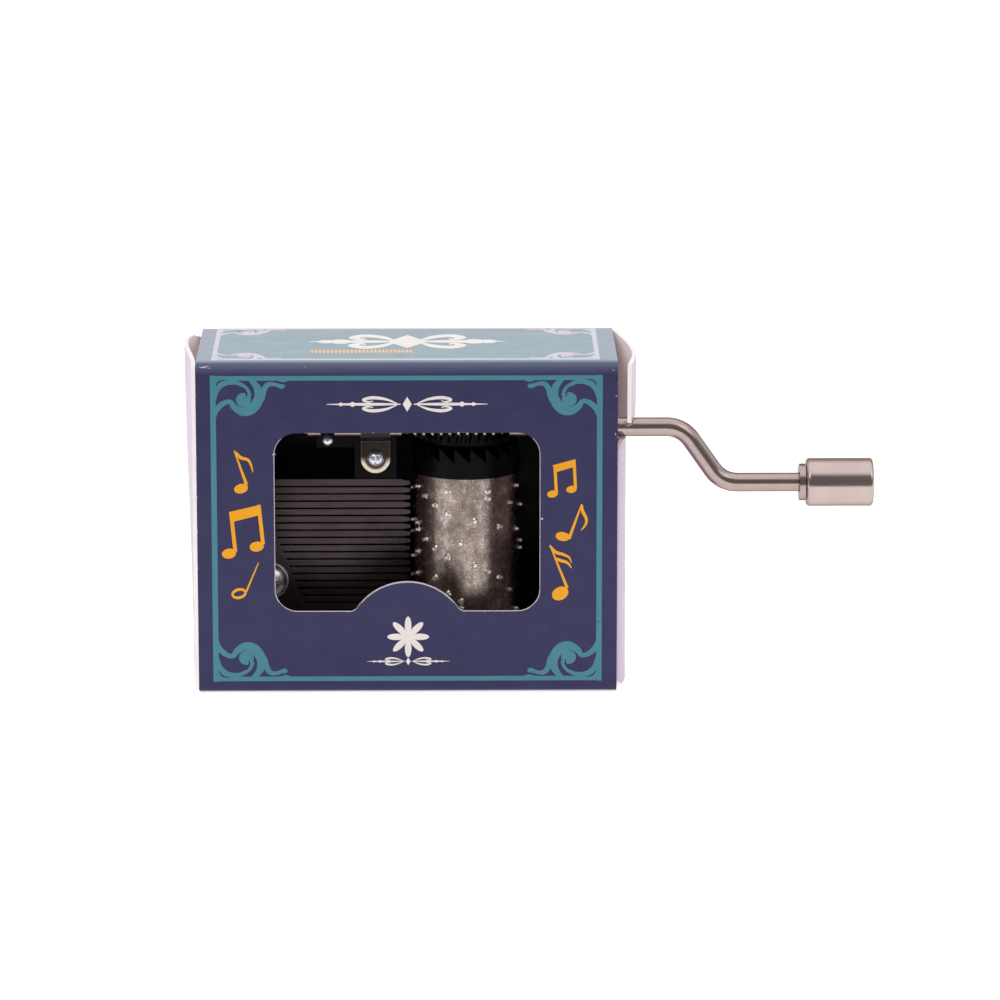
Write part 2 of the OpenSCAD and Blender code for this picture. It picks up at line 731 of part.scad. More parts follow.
module click_finger() {
    lift = 0.1;
    tip_z = saw_z + ratchet_h;
    crook = (tip_z + lift - spring_z) * saw_l / ratchet_h;
    end_y = spring_out * tan(360 / ratchet_teeth);
    end_z = tip_z + lift - end_y * ratchet_h / saw_l;
    difference() {
        translate([spring_in, 0, 0]) rotate([90, 0, 90]) linear_extrude(spring_out - spring_in)
            polygon([[crook - 1, spring_z], [crook, spring_z], [end_y, end_z], [end_y, end_z + spring_t],
                     [crook, spring_z + spring_t], [crook - 1, spring_z + spring_t]]);
        rotate([0, 0, 360 / ratchet_teeth]) translate([0, -run_gap, saw_z - cut])
            cube([2 * spring_out, spring_out, collar_h + ratchet_h]);
    }
}

module click_spring() {
    color("#8d8a88") translate([axis_x, axis_y, 0]) {
        translate([0, 0, spring_z]) difference() {
            cylinder(h = spring_t, r = spring_out);
            translate([0, 0, -cut]) cylinder(h = spring_t + 2 * cut, r = hub_r + 0.3);
        }
        for (k = [0 : 2]) rotate([0, 0, (finger_first + k * ratchet_teeth / 3) * 360 / ratchet_teeth])
            click_finger();
    }
}

module wheel_outline() {
    root = wheel_r - thread_h / 2 - mesh_gap;
    tip = wheel_r + thread_h / 2 - mesh_gap;
    half_at = function(r) tooth_half - (r - wheel_r) * tan(pressure_angle);
    point = function(r, y, a) [r * cos(a) - y * sin(a), r * sin(a) + y * cos(a)];
    polygon([for (k = [0 : wheel_teeth - 1]) let (a = k * 360 / wheel_teeth)
                each [point(root, -half_at(root), a), point(tip, -half_at(tip), a),
                      point(tip, half_at(tip), a), point(root, half_at(root), a)]]);
}

// The wheel's teeth lean with the worm's thread
module worm_wheel() {
    lean = worm_pitch / (2 * PI * worm_r) / wheel_r * 180 / PI;      // degrees for each mm of height
    toothed_z = wheel_z + plain_rim;
    toothed_h = wheel_top - toothed_z;
    root = wheel_r - thread_h / 2 - mesh_gap;
    recess_t = spring_t + 2 * fit_gap;
    color("#1b191b") translate([axis_x, axis_y, 0]) difference() {
        union() {
            translate([0, 0, toothed_z]) rotate([0, 0, -90 - (rod_z - toothed_z) * lean])
                linear_extrude(height = toothed_h, twist = -toothed_h * lean, slices = 4) wheel_outline();
            translate([0, 0, wheel_z]) cylinder(h = plain_rim / 2, r1 = root - plain_rim / 2, r2 = root);
            translate([0, 0, wheel_z + plain_rim / 2]) cylinder(h = plain_rim, r = root);
        }
        translate([0, 0, wheel_z - cut]) cylinder(h = wheel_h + 2 * cut, r = bore_r);
        translate([0, 0, wheel_z - cut]) difference() {
            cylinder(h = cut + recess_t, r = spring_out + fit_gap);
            cylinder(h = cut + recess_t, r = hub_r + 0.3 - fit_gap);
        }
    }
}

arbor_over = 0.5;                           // how far the arbor shows past each ear
arbor_head_r = 1.6;

module arbor() {
    low = ear_z - ear_t - arbor_over;
    high = upper_ear_z + ear_t;
    color("#c7c5c3") translate([axis_x, axis_y, 0]) {
        translate([0, 0, low]) cylinder(h = high - low, r = arbor_r);
        translate([0, 0, high]) cylinder(h = arbor_over, r = arbor_head_r);
    }
}

module arbor_washers() {
    color("#d8c48a") for (z = [ear_z, upper_ear_z - washer_t]) translate([axis_x, axis_y, z])
        difference() {
            cylinder(h = washer_t, r = washer_r);
            translate([0, 0, -cut]) cylinder(h = washer_t + 2 * cut, r = arbor_r + fit_gap);
        }
}

// ---------- crank ----------

worm_left = axis_x + worm_pitch * (0.5 - turns_left);
worm_right = axis_x + worm_pitch * (0.5 + turns_right);
worm_runout = 0.5;
lap = 0.15;                                 // how far the straight lengths run into their neighbours
bend_swell = 0.01;

// The worm is a grid: columns at steps round the shaft, each with four points for every turn of
// the thread between an end point at either side. The thread fades in and out at its ends.
module worm_body() {
    first_turn = -ceil(turns_left);
    turns = ceil(turns_right) - first_turn;
    left_x = axis_x + worm_pitch * (first_turn - 0.2);
    right_x = axis_x + worm_pitch * (first_turn + turns + 1.2);
    angle = 360 / turn_steps;
    half_at = function(r) tooth_half - (r - worm_r) * tan(pressure_angle);
    fade = function(u) max(0, min(1, 2 * (u + turns_left), 2 * (turns_right - u)));
    point = function(k, j)
        let (e = j % 4, u = first_turn + floor(j / 4) + k / turn_steps, at_root = e == 0 || e == 3,
             r = at_root ? worm_root : worm_root + thread_h * fade(u),
             x = axis_x + worm_pitch * (0.5 + u) + (e < 2 ? -1 : 1) * half_at(at_root ? worm_root : rod_r))
        [x, r * cos(angle * k), r * sin(angle * k)];
    end_point = function(k, x) [x, worm_root * cos(angle * k), worm_root * sin(angle * k)];
    n = 4 * turns;
    m = n + 2;
    last = turn_steps - 1;
    id = function(k, j) k * m + j;
    polyhedron(
        points = [for (k = [0 : last]) each concat(
            [end_point(k, left_x)], [for (j = [0 : n - 1]) point(k, j)], [end_point(k, right_x)])],
        faces = concat(
            [for (k = [0 : last - 1], j = [0 : m - 2])
                each [[id(k, j), id(k, j + 1), id(k + 1, j)],
                      [id(k, j + 1), id(k + 1, j + 1), id(k + 1, j)]]],
            // the last column meets the first one turn further on
            [for (j = [1 : n - 4]) each [[id(last, j), id(last, j + 1), id(0, j + 4)],
                                         [id(last, j + 1), id(0, j + 5), id(0, j + 4)]]],
            [for (j = [0 : 3]) [id(last, 0), id(0, j + 1), id(0, j)]],
            [[id(last, 0), id(0, 5), id(0, 4)], [id(last, 0), id(last, 1), id(0, 5)]],
            [for (j = [n - 3 : n]) [id(last, j), id(last, j + 1), id(0, m - 1)]],
            [[for (k = [0 : last]) id(k, 0)], [for (k = [last : -1 : 0]) id(k, m - 1)]]));
}

// A bend that starts along +X at the origin and turns down by an angle, swollen a hair by the bending
module bend_down(angle) {
    translate([0, 0, -bend_r]) rotate([90, 0, 0]) rotate([0, 0, 90 - angle])
        rotate_extrude(angle = angle) translate([bend_r, 0]) circle(rod_r + bend_swell);
}

module crank_rod() {
    neck_left = groove_x - groove_w / 2;
    neck_right = groove_x + groove_w / 2;
    core_left = worm_left - worm_runout;
    core_right = worm_right + worm_runout;
    rivet_x = knob_x + knob_l - recess_l + end_gap / 2;
    color("#c4bab4") translate([0, rod_y, rod_z]) {
        along_x(rod_left, neck_left, rod_r);
        along_x(neck_left - lap, neck_right + lap, groove_r);
        along_x(neck_right, core_left, rod_r);
        worm_body();
        along_x(core_right, bend_start + lap, rod_r);
        translate([bend_start, 0, 0]) bend_down(bend_angle);
        translate([bend_start + bend_r * sin(bend_angle), 0, -bend_r * (1 - cos(bend_angle))])
            rotate([0, bend_angle, 0]) along_x(-lap, slant_l + lap, rod_r);
        translate([bend_end, 0, -crank_throw]) mirror([1, 0, 0]) mirror([0, 0, 1]) bend_down(bend_angle);
        translate([0, 0, -crank_throw]) {
            along_x(bend_end - lap, rivet_x + rivet_t / 2, rod_r);
            along_x(rivet_x, rivet_x + rivet_t, rivet_r);
        }
    }
}

module retaining_pin() {
    face = rod_y + rod_r + end_gap;
    front = rod_y - rod_r - end_gap;
    color("#d6d6da") translate([groove_x, 0, stop_z]) {
        along_y(front, face + block_hole - end_gap, stop_r);
        translate([0, front, 0]) dome_y(stop_r, stop_r / 2);
    }
}

hook_l = 1.2;

// The strap's side view: a foot, an arch over the shaft and a hook into the block
module strap_section() {
    arch_r = rod_r + run_gap;
    difference() {
        circle(arch_r + strap_t);
        circle(arch_r);
        translate([0, -2 * rod_r]) square([4 * rod_r, 4 * rod_r]);
    }
    translate([-strap_t, -strap_foot]) square([strap_t, strap_foot - arch_r]);
    translate([-strap_t, arch_r]) square([strap_t, strap_hook - arch_r]);
    translate([-strap_t, strap_hook - strap_t]) square([strap_t + hook_l, strap_t]);
}

module shaft_strap() {
    color("#a9a7a8") difference() {
        intersection() {
            translate([0, rod_y, rod_z])
                plate_x(strap_x - strap_w / 2, strap_x + strap_w / 2) strap_section();
            plate_y(rod_y - rod_r - 2 * strap_t, rod_y + hook_l + cut) {
                translate([strap_x, rod_z - strap_foot + strap_w / 2]) circle(strap_w / 2);
                translate([strap_x - strap_w / 2, rod_z - strap_foot + strap_w / 2])
                    square([strap_w, strap_foot + strap_hook]);
            }
        }
        translate([strap_x, 0, rod_z - strap_screw_drop])
            along_y(rod_y - strap_t - cut, rod_y + cut, strap_screw_r + run_gap);
    }
}

module strap_screw() {
    color("#d6d6da") translate([strap_x, rod_y - strap_t, rod_z - strap_screw_drop])
        pan_screw(strap_head_r, strap_head_h, strap_screw_r, strap_t + block_hole - end_gap, 0.5);
}

module handle_collar() {
    color("#c4bab4") translate([0, rod_y, handle_z]) difference() {
        along_x(knob_x - end_gap - ferrule_t, knob_x - end_gap, ferrule_r);
        along_x(knob_x - end_gap - ferrule_t - cut, knob_x + cut, rod_r + fit_gap);
    }
}

module handle_knob() {
    color("#cfc6c2") translate([knob_x, rod_y, handle_z]) rotate([0, 90, 0]) difference() {
        rotate_extrude() {
            square([knob_r - knob_edge, knob_l]);
            translate([0, knob_edge]) square([knob_r, knob_l - 2 * knob_edge]);
            for (h = [knob_edge, knob_l - knob_edge])
                translate([knob_r - knob_edge, h]) circle(knob_edge);
        }
        translate([0, 0, -cut]) cylinder(h = knob_l + 2 * cut, r = rod_r + run_gap);
        translate([0, 0, knob_l - recess_l]) cylinder(h = recess_l + cut, r = recess_r);
    }
}

carton_sleeve();
left_end_flap();
right_end_flap();
left_upper_dust_flap();
left_lower_dust_flap();
right_upper_dust_flap();
right_lower_dust_flap();
bedplate();
comb();
comb_washers();
comb_screws();
pinned_cylinder();
cylinder_end_cap();
ratchet_collar();
click_spring();
worm_wheel();
arbor();
arbor_washers();
crank_rod();
retaining_pin();
shaft_strap();
strap_screw();
handle_collar();
handle_knob();
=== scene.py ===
# %% [markdown]
# # A hand-cranked music box in its printed carton
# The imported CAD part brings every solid: carton, bedplate, comb, pinned cylinder and crank.
# Blender adds what a solid has none of, which is printing, board, plating and wear.

import json
import math

import bpy
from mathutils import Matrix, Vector
from mathutils.geometry import delaunay_2d_cdt

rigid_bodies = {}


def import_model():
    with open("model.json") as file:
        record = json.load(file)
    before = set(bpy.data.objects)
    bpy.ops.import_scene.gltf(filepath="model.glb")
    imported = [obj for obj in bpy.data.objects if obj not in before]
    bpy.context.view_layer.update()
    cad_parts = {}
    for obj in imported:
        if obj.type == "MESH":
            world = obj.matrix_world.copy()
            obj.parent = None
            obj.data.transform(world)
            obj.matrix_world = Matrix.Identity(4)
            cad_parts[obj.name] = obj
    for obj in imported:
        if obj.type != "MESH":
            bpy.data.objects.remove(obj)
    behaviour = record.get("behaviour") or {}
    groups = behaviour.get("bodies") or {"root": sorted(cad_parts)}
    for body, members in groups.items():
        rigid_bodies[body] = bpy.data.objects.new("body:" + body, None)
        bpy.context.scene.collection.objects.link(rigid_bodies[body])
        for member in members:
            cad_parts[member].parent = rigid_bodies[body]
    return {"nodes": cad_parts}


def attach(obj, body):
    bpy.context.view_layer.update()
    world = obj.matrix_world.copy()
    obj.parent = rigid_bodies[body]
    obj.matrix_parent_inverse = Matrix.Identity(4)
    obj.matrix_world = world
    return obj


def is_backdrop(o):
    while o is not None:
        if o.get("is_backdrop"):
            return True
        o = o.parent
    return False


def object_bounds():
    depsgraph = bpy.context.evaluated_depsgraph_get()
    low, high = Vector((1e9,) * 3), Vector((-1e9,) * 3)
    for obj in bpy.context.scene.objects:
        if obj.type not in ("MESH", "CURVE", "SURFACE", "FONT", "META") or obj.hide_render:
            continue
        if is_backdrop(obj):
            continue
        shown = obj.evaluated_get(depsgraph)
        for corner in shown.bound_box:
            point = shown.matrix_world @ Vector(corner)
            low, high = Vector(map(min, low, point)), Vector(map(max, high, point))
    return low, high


# Blender's startup cube, lamp and camera aren't part of the object
for leftover in list(bpy.data.objects):
    bpy.data.objects.remove(leftover)

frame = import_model()
nodes = frame["nodes"]
bpy.context.view_layer.update()


def box_of_shown():
    """The shown object's box as plain lists of metres."""
    low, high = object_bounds()
    return [[float(v) for v in low], [float(v) for v in high]]


mm = 0.001

# %% [markdown]
# ## Camera
# A small product is usually pictured from far off with a long lens, so that its edges stay
# nearly parallel. The camera here stands on a sphere round a point in the carton, and a
# distance, a turn and a height say where. That is easier to adjust than three coordinates.

# %% Place the camera
look_at = Vector((0.01183, 0.0, 0.02222))
turn, height, distance = math.radians(-0.66), math.radians(12.8), 0.680
back = Vector((math.sin(turn) * math.cos(height), -math.cos(turn) * math.cos(height),
               math.sin(height)))
lens = bpy.data.cameras.new("studio_camera")
lens.lens, lens.sensor_width = 190.8, 36
lens.clip_start = 0.01
camera = bpy.data.objects.new("studio_camera", lens)
camera.location = look_at + back * distance
camera.rotation_euler = (-back).to_track_quat("-Z", "Y").to_euler()
bpy.context.scene.collection.objects.link(camera)
bpy.context.scene.camera = camera
print("camera", round(distance, 3), "m away,", round(math.degrees(height), 1), "degrees up")

# %% [markdown]
# ## Small helpers for shader trees
# A material is a tree of small nodes. These helpers keep the later cells readable: one adds a
# node, one gives a socket either a value or a link, and the rest do arithmetic, noise, colours
# and node groups.

# %% Shader helpers
def add(tree, kind, **settings):
    """A new node in the tree, with its settings."""
    node = tree.nodes.new("ShaderNode" + kind)
    for name, value in settings.items():
        setattr(node, name, value)
    return node


def feed(tree, socket, value):
    """Links a socket into another one, or sets it to a plain value."""
    if isinstance(value, bpy.types.NodeSocket):
        tree.links.new(value, socket)
    else:
        socket.default_value = value


def calc(tree, operation, *values, clamp=False):
    """One step of arithmetic. Gives back its result socket."""
    node = add(tree, "Math", operation=operation, use_clamp=clamp)
    for socket, value in zip(node.inputs, values):
        feed(tree, socket, value)
    return node.outputs[0]


def span(tree, value, low, high, to_low=0.0, to_high=1.0):
    """Maps a value from low..high to to_low..to_high, smoothly and clamped."""
    node = add(tree, "MapRange", interpolation_type="SMOOTHSTEP")
    for socket, v in zip(node.inputs, (value, low, high, to_low, to_high)):
        feed(tree, socket, v)
    return node.outputs[0]


def mix(tree, factor, first, second):
    """Mixes two colours."""
    node = add(tree, "Mix", data_type="RGBA")
    feed(tree, node.inputs["Factor"], factor)
    feed(tree, node.inputs[6], first)
    feed(tree, node.inputs[7], second)
    return node.outputs[2]


def noise(tree, position, scale, detail=3.0, roughness=0.55):
    """Noise from 0 to 1 at a position in millimetres."""
    node = add(tree, "TexNoise")
    for label, value in (("Vector", position), ("Scale", scale), ("Detail", detail),
                         ("Roughness", roughness)):
        feed(tree, node.inputs[label], value)
    return node.outputs[0]


def parts_of(tree, vector):
    """The x, y and z of a vector."""
    node = add(tree, "SeparateXYZ")
    feed(tree, node.inputs[0], vector)
    return node.outputs


def length_of(tree, first, second):
    """The length of a flat vector with these two parts."""
    return calc(tree, "SQRT", calc(tree, "ADD", calc(tree, "MULTIPLY", first, first),
                                   calc(tree, "MULTIPLY", second, second)))


def srgb(code):
    """An opaque colour from its web code, made linear for the renderer."""
    raw = [int(code[i:i + 2], 16) / 255 for i in (1, 3, 5)]
    return [c / 12.92 if c <= 0.04045 else ((c + 0.055) / 1.055) ** 2.4 for c in raw] + [1.0]


def new_group(name, takes, gives):
    """An empty node group with named inputs and outputs."""
    tree = bpy.data.node_groups.new(name, "ShaderNodeTree")
    for label, kind, value in takes:
        made = tree.interface.new_socket(name=label, in_out="INPUT",
                                         socket_type="NodeSocket" + kind)
        if value is not None:
            made.default_value = value
    for label, kind in gives:
        tree.interface.new_socket(name=label, in_out="OUTPUT", socket_type="NodeSocket" + kind)
    takes_in, gives_out = tree.nodes.new("NodeGroupInput"), tree.nodes.new("NodeGroupOutput")
    return tree, takes_in.outputs, gives_out.inputs


def use(tree, name, **values):
    """Places a node group in a tree and gives back its outputs."""
    node = add(tree, "Group")
    node.node_tree = bpy.data.node_groups[name]
    for label, value in values.items():
        feed(tree, node.inputs[label.replace("_", " ")], value)
    return node.outputs


print("helpers ready; web grey #808080 is", round(srgb("#808080")[0], 3), "in linear light")

# %% [markdown]
# ## Shared effects
# Every finish here needs a place in millimetres, measured on the piece itself so that a
# pattern stays put when the crank turns. Each effect is a node group, built once and set
# differently in each material, as one sandpaper serves many jobs.

# %% Group: millimetres
tree, take, give = new_group("millimetres", [], [("Position", "Vector"), ("Normal", "Vector")])
where = add(tree, "TexCoord")
scaled = add(tree, "VectorMath", operation="SCALE")
feed(tree, scaled.inputs[0], where.outputs["Object"])
scaled.inputs["Scale"].default_value = 1 / mm
feed(tree, give["Position"], scaled.outputs[0])
feed(tree, give["Normal"], where.outputs["Normal"])
print("group millimetres")

# %% [markdown]
# Paperboard isn't flat. Its fibres leave a faint cloudy mottle a few millimetres wide under
# the ink, and a fine tooth in its surface.

# %% Group: paper_grain
tree, take, give = new_group("paper_grain", [("Position", "Vector", None)],
                             [("Mottle", "Float"), ("Height", "Float")])
cloud = noise(tree, take["Position"], 0.35, 4)
fibre = noise(tree, take["Position"], 9.0, 3, 0.7)
tooth = noise(tree, take["Position"], 2.2, 2)
feed(tree, give["Mottle"], span(tree, cloud, 0.3, 0.7))
feed(tree, give["Height"], calc(tree, "ADD", calc(tree, "MULTIPLY", fibre, 0.6),
                                calc(tree, "MULTIPLY", tooth, 0.4)))
print("group paper_grain")

# %% [markdown]
# A folded carton wears where it is folded and cut first: the ink cracks into short pale
# flecks. The Bevel node rounds the shading normal near an edge, so its difference from the
# true normal marks edges on any shape, without a map painted by hand.

# %% Group: edge_wear
tree, take, give = new_group(
    "edge_wear", [("Position", "Vector", None), ("Width", "Float", 0.0003),
                  ("Amount", "Float", 0.5), ("Fleck Size", "Float", 1.2)],
    [("Mask", "Float"), ("Edge", "Float")])
rounded = add(tree, "Bevel", samples=6)
feed(tree, rounded.inputs["Radius"], take["Width"])
real = add(tree, "NewGeometry")
match = add(tree, "VectorMath", operation="DOT_PRODUCT")
feed(tree, match.inputs[0], rounded.outputs[0])
feed(tree, match.inputs[1], real.outputs["Normal"])
edge = span(tree, match.outputs["Value"], 0.995, 0.90)
fleck = noise(tree, take["Position"], take["Fleck Size"], 4, 0.5)
limit = calc(tree, "SUBTRACT", 1.0, calc(tree, "MULTIPLY", take["Amount"], 0.6))
broken = span(tree, fleck, calc(tree, "SUBTRACT", limit, 0.08), limit)
feed(tree, give["Mask"], calc(tree, "MULTIPLY", edge, broken))
feed(tree, give["Edge"], edge)
print("group edge_wear")

# %% [markdown]
# Metal that was drawn, ground or turned keeps fine lines along the way the tool went. The
# Stretch input squeezes the noise across the lines and draws it out along them.

# %% Group: machined_lines
tree, take, give = new_group(
    "machined_lines", [("Position", "Vector", None), ("Stretch", "Vector", (1.0, 1.0, 1.0))],
    [("Height", "Float"), ("Streak", "Float")])
pulled = add(tree, "VectorMath", operation="MULTIPLY")
feed(tree, pulled.inputs[0], take["Position"])
feed(tree, pulled.inputs[1], take["Stretch"])
feed(tree, give["Height"], noise(tree, pulled.outputs[0], 6.0, 4, 0.7))
feed(tree, give["Streak"], span(tree, noise(tree, pulled.outputs[0], 1.5, 3), 0.35, 0.65))
print("group machined_lines")

# %% [markdown]
# Handled metal is never one colour. Thin films of oil and oxide lie on it in clouds, with
# small darker spots, and they change its gloss as much as its colour.

# %% Group: tarnish
tree, take, give = new_group(
    "tarnish", [("Position", "Vector", None), ("Clean", "Color", None), ("Dull", "Color", None),
                ("Cover", "Float", 0.5)],
    [("Color", "Color"), ("Film", "Float")])
cloud = span(tree, noise(tree, take["Position"], 0.32, 3, 0.5), 0.30, 0.80)
spot = span(tree, noise(tree, take["Position"], 4.5, 2), 0.68, 0.76)
film = calc(tree, "MULTIPLY", calc(tree, "MAXIMUM", cloud, spot), take["Cover"], clamp=True)
feed(tree, give["Color"], mix(tree, film, take["Clean"], take["Dull"]))
feed(tree, give["Film"], film)
print("group tarnish")

# %% [markdown]
# Moulded plastic copies its mould: a fine even spark-eroded skin, and grey dust that settles
# only on faces that look up.

# %% Group: moulded_skin
tree, take, give = new_group("moulded_skin", [("Position", "Vector", None),
                                              ("Normal", "Vector", None)],
                             [("Height", "Float"), ("Patch", "Float"), ("Dust", "Float")])
feed(tree, give["Height"], noise(tree, take["Position"], 14.0, 2, 0.6))
feed(tree, give["Patch"], span(tree, noise(tree, take["Position"], 0.8, 3), 0.35, 0.65))
facing_up = span(tree, parts_of(tree, take["Normal"])[2], 0.35, 0.95)
specks = span(tree, noise(tree, take["Position"], 7.0, 3, 0.7), 0.56, 0.70)
feed(tree, give["Dust"], calc(tree, "MULTIPLY", facing_up, specks))
print(len(bpy.data.node_groups), "groups in all")


# %% [markdown]
# ## Materials
# A Principled shader does the light. Values that are the same all over stand on its own
# sockets. Only what changes over the surface is linked.

# %% Start a material
def start(name, metallic=0.0, roughness=0.5, coat_roughness=0.1, specular=0.5):
    """A new material. Gives back the material, its tree, its shader, position and normal."""
    made = bpy.data.materials.new(name)
    made.use_nodes = True
    tree = made.node_tree
    shader = tree.nodes["Principled BSDF"]
    for label, value in (("Metallic", metallic), ("Roughness", roughness),
                         ("Coat Roughness", coat_roughness), ("Specular IOR Level", specular)):
        shader.inputs[label].default_value = value
    place = use(tree, "millimetres")
    return made, tree, shader, place["Position"], place["Normal"]


def raise_surface(tree, shader, height, depth_mm, strength=1.0):
    """A bump of that depth from a height of 0 to 1."""
    bump = add(tree, "Bump")
    bump.inputs["Distance"].default_value = depth_mm * mm
    bump.inputs["Strength"].default_value = strength
    feed(tree, bump.inputs["Height"], height)
    feed(tree, shader.inputs["Normal"], bump.outputs[0])


print("ready for materials")

# %% [markdown]
# ## Board
# The carton is one sheet of folding boxboard, printed and varnished on its outside only. Its
# inside and its die-cut edges stay raw, warm white. The outside is told from the rest by its
# normal: it points away from the carton's own middle line, and every other face doesn't.
# Just below the fold to the top, a sheen is painted onto the navy as painted light, lighter
# towards the fold, and the bent strip next to it loses the mirror-like look that the varnish
# gives to the flat of the top.

# %% Material: printed_board
half_deep, carton_tall = 12.0, 42.5
top_film = 0.18                      # how far below the top face its print still counts
crease_end_y, flat_start_y = -11.5, -10.7
border_x = 24.6                      # beyond it, and towards the back edge, the top's colour is mixed paler
window_x, window_z = 17.8, 22.3      # half the window's width, and its middle height
window_half_tall = 10.6
varnish = 0.72
navy, teal, raw_board = srgb("#343256"), srgb("#5a8493"), srgb("#f5ecef")


def board_base(tree, shader, place, ink, clouded, ink_cover, cut_zone=0.0):
    """Ink over raw board with mottle and worn edges. In the cut zone every edge shows raw."""
    grain = use(tree, "paper_grain", Position=place)
    wear = use(tree, "edge_wear", Position=place, Width=0.00022, Amount=0.5, Fleck_Size=2.3)
    shade = mix(tree, calc(tree, "MULTIPLY", grain["Mottle"], 0.10), ink, clouded)
    bare = calc(tree, "MAXIMUM", wear["Mask"], calc(tree, "MULTIPLY", wear["Edge"], cut_zone))
    shown = calc(tree, "MULTIPLY", ink_cover, calc(tree, "SUBTRACT", 1.0, bare))
    raw = mix(tree, calc(tree, "MULTIPLY", grain["Mottle"], 0.3), raw_board, srgb("#e0d4d4"))
    feed(tree, shader.inputs["Base Color"], mix(tree, shown, raw, shade))
    rough = span(tree, shown, 0.0, 1.0, 0.85, 0.36)
    feed(tree, shader.inputs["Roughness"],
         calc(tree, "ADD", rough, calc(tree, "MULTIPLY", grain["Mottle"], 0.06)))
    raise_surface(tree, shader, grain["Height"], 0.010, 0.6)


board, tree, shader, place, facing = start("printed_board", coat_roughness=0.22, specular=0.2)
x, y, z = parts_of(tree, place)
_, ny, nz = parts_of(tree, facing)
outward = calc(tree, "ADD", calc(tree, "MULTIPLY", ny, y),
               calc(tree, "MULTIPLY", nz, calc(tree, "SUBTRACT", z, carton_tall / 2)))
outside = calc(tree, "GREATER_THAN", outward, 1.0)
on_top = calc(tree, "MULTIPLY", calc(tree, "GREATER_THAN", z, carton_tall - top_film),
              span(tree, y, crease_end_y, flat_start_y))
off_middle = calc(tree, "ABSOLUTE", x)
borders = calc(tree, "MAXIMUM", calc(tree, "GREATER_THAN", off_middle, border_x),
               span(tree, y, 4.5, half_deep))
top_colour = mix(tree, calc(tree, "MULTIPLY", borders, 0.5), teal, srgb("#74749c"))
# Painted sheen: the navy lightens over the last 1.5 mm below the top fold, as light on the bend.
navy_with_painted_fold_sheen = mix(tree, span(tree, z, 40.9, 42.4), navy, srgb("#5b6079"))
off_window = calc(tree, "ABSOLUTE", calc(tree, "SUBTRACT", z, window_z))
in_window = calc(tree, "MULTIPLY", calc(tree, "LESS_THAN", off_middle, window_x),
                 calc(tree, "LESS_THAN", off_window, window_half_tall))
board_base(tree, shader, place, mix(tree, on_top, navy_with_painted_fold_sheen, top_colour), srgb("#57557a"), outside,
           calc(tree, "MULTIPLY", in_window, 0.85))
feed(tree, shader.inputs["Coat Weight"],
     calc(tree, "MULTIPLY", on_top, span(tree, y, -10.6, -9.5, 0.0, varnish)))
print("printed_board: navy sides, teal top, raw inside")

# %% [markdown]
# The two end flaps are printed a pale lilac on the outside. The dust flaps behind them are
# bare board, seen only when an end is open. Their raw side is given a faint warm emission, a
# painted glow that stands in for the light thin board lets through, where it would otherwise
# lie in shade.

# %% Materials: flap_board and inner_board
flap_paper, tree, shader, place, facing = start("flap_board", specular=0.4)
outward = calc(tree, "MULTIPLY", parts_of(tree, facing)[0], parts_of(tree, place)[0])
printed = calc(tree, "GREATER_THAN", outward, 4.0)
board_base(tree, shader, place, srgb("#c2b0c2"), srgb("#b5a4b8"), printed)
# Painted glow: the raw side emits a faint warm light of its own; the printed side emits none.
feed(tree, shader.inputs["Emission Color"], mix(tree, printed, srgb("#f2dcdc"), srgb("#000000")))
shader.inputs["Emission Strength"].default_value = 0.08

inner_paper, tree, shader, place, _ = start("inner_board", roughness=0.85, specular=0.3)
grain = use(tree, "paper_grain", Position=place)
feed(tree, shader.inputs["Base Color"],
     mix(tree, calc(tree, "MULTIPLY", grain["Mottle"], 0.5), srgb("#e6dbda"), srgb("#cfbfbd")))
raise_surface(tree, shader, grain["Height"], 0.016, 0.8)
print("flap_board and inner_board")


# %% [markdown]
# ## Metals
# One recipe serves every metal: a colour that drifts between clean and tarnished, a film
# that dulls the gloss, tool lines in the bump and brighter worn edges, and on some metals a
# painted highlight along every edge. What differs is which way the tool went, so the stretch
# is given per piece. Bare steel also loses a little of its shine at a glancing angle, which
# draws a fine dark outline round a bar. Scuffs are sparse.
# The strap is punched from spring strip, and its round end is rolled down, shown in the bump.
# A bright crescent is painted along its lower edge as a highlight.

# %% Recipe for a metal
roll_depth = 0.25


def rolled_mask(tree, place, middle_x, middle_z, flat_r, end_r):
    """1 round a strip's rolled lower end, bumped and painted as a highlight, 0 away from it."""
    x, _, z = parts_of(tree, place)
    down = calc(tree, "SUBTRACT", z, middle_z)
    reach = length_of(tree, calc(tree, "SUBTRACT", x, middle_x), down)
    rim = calc(tree, "MULTIPLY", span(tree, reach, flat_r, end_r), span(tree, down, 0.3, -0.9))
    return calc(tree, "MULTIPLY", rim, calc(tree, "LESS_THAN", reach, 2 * end_r - flat_r))


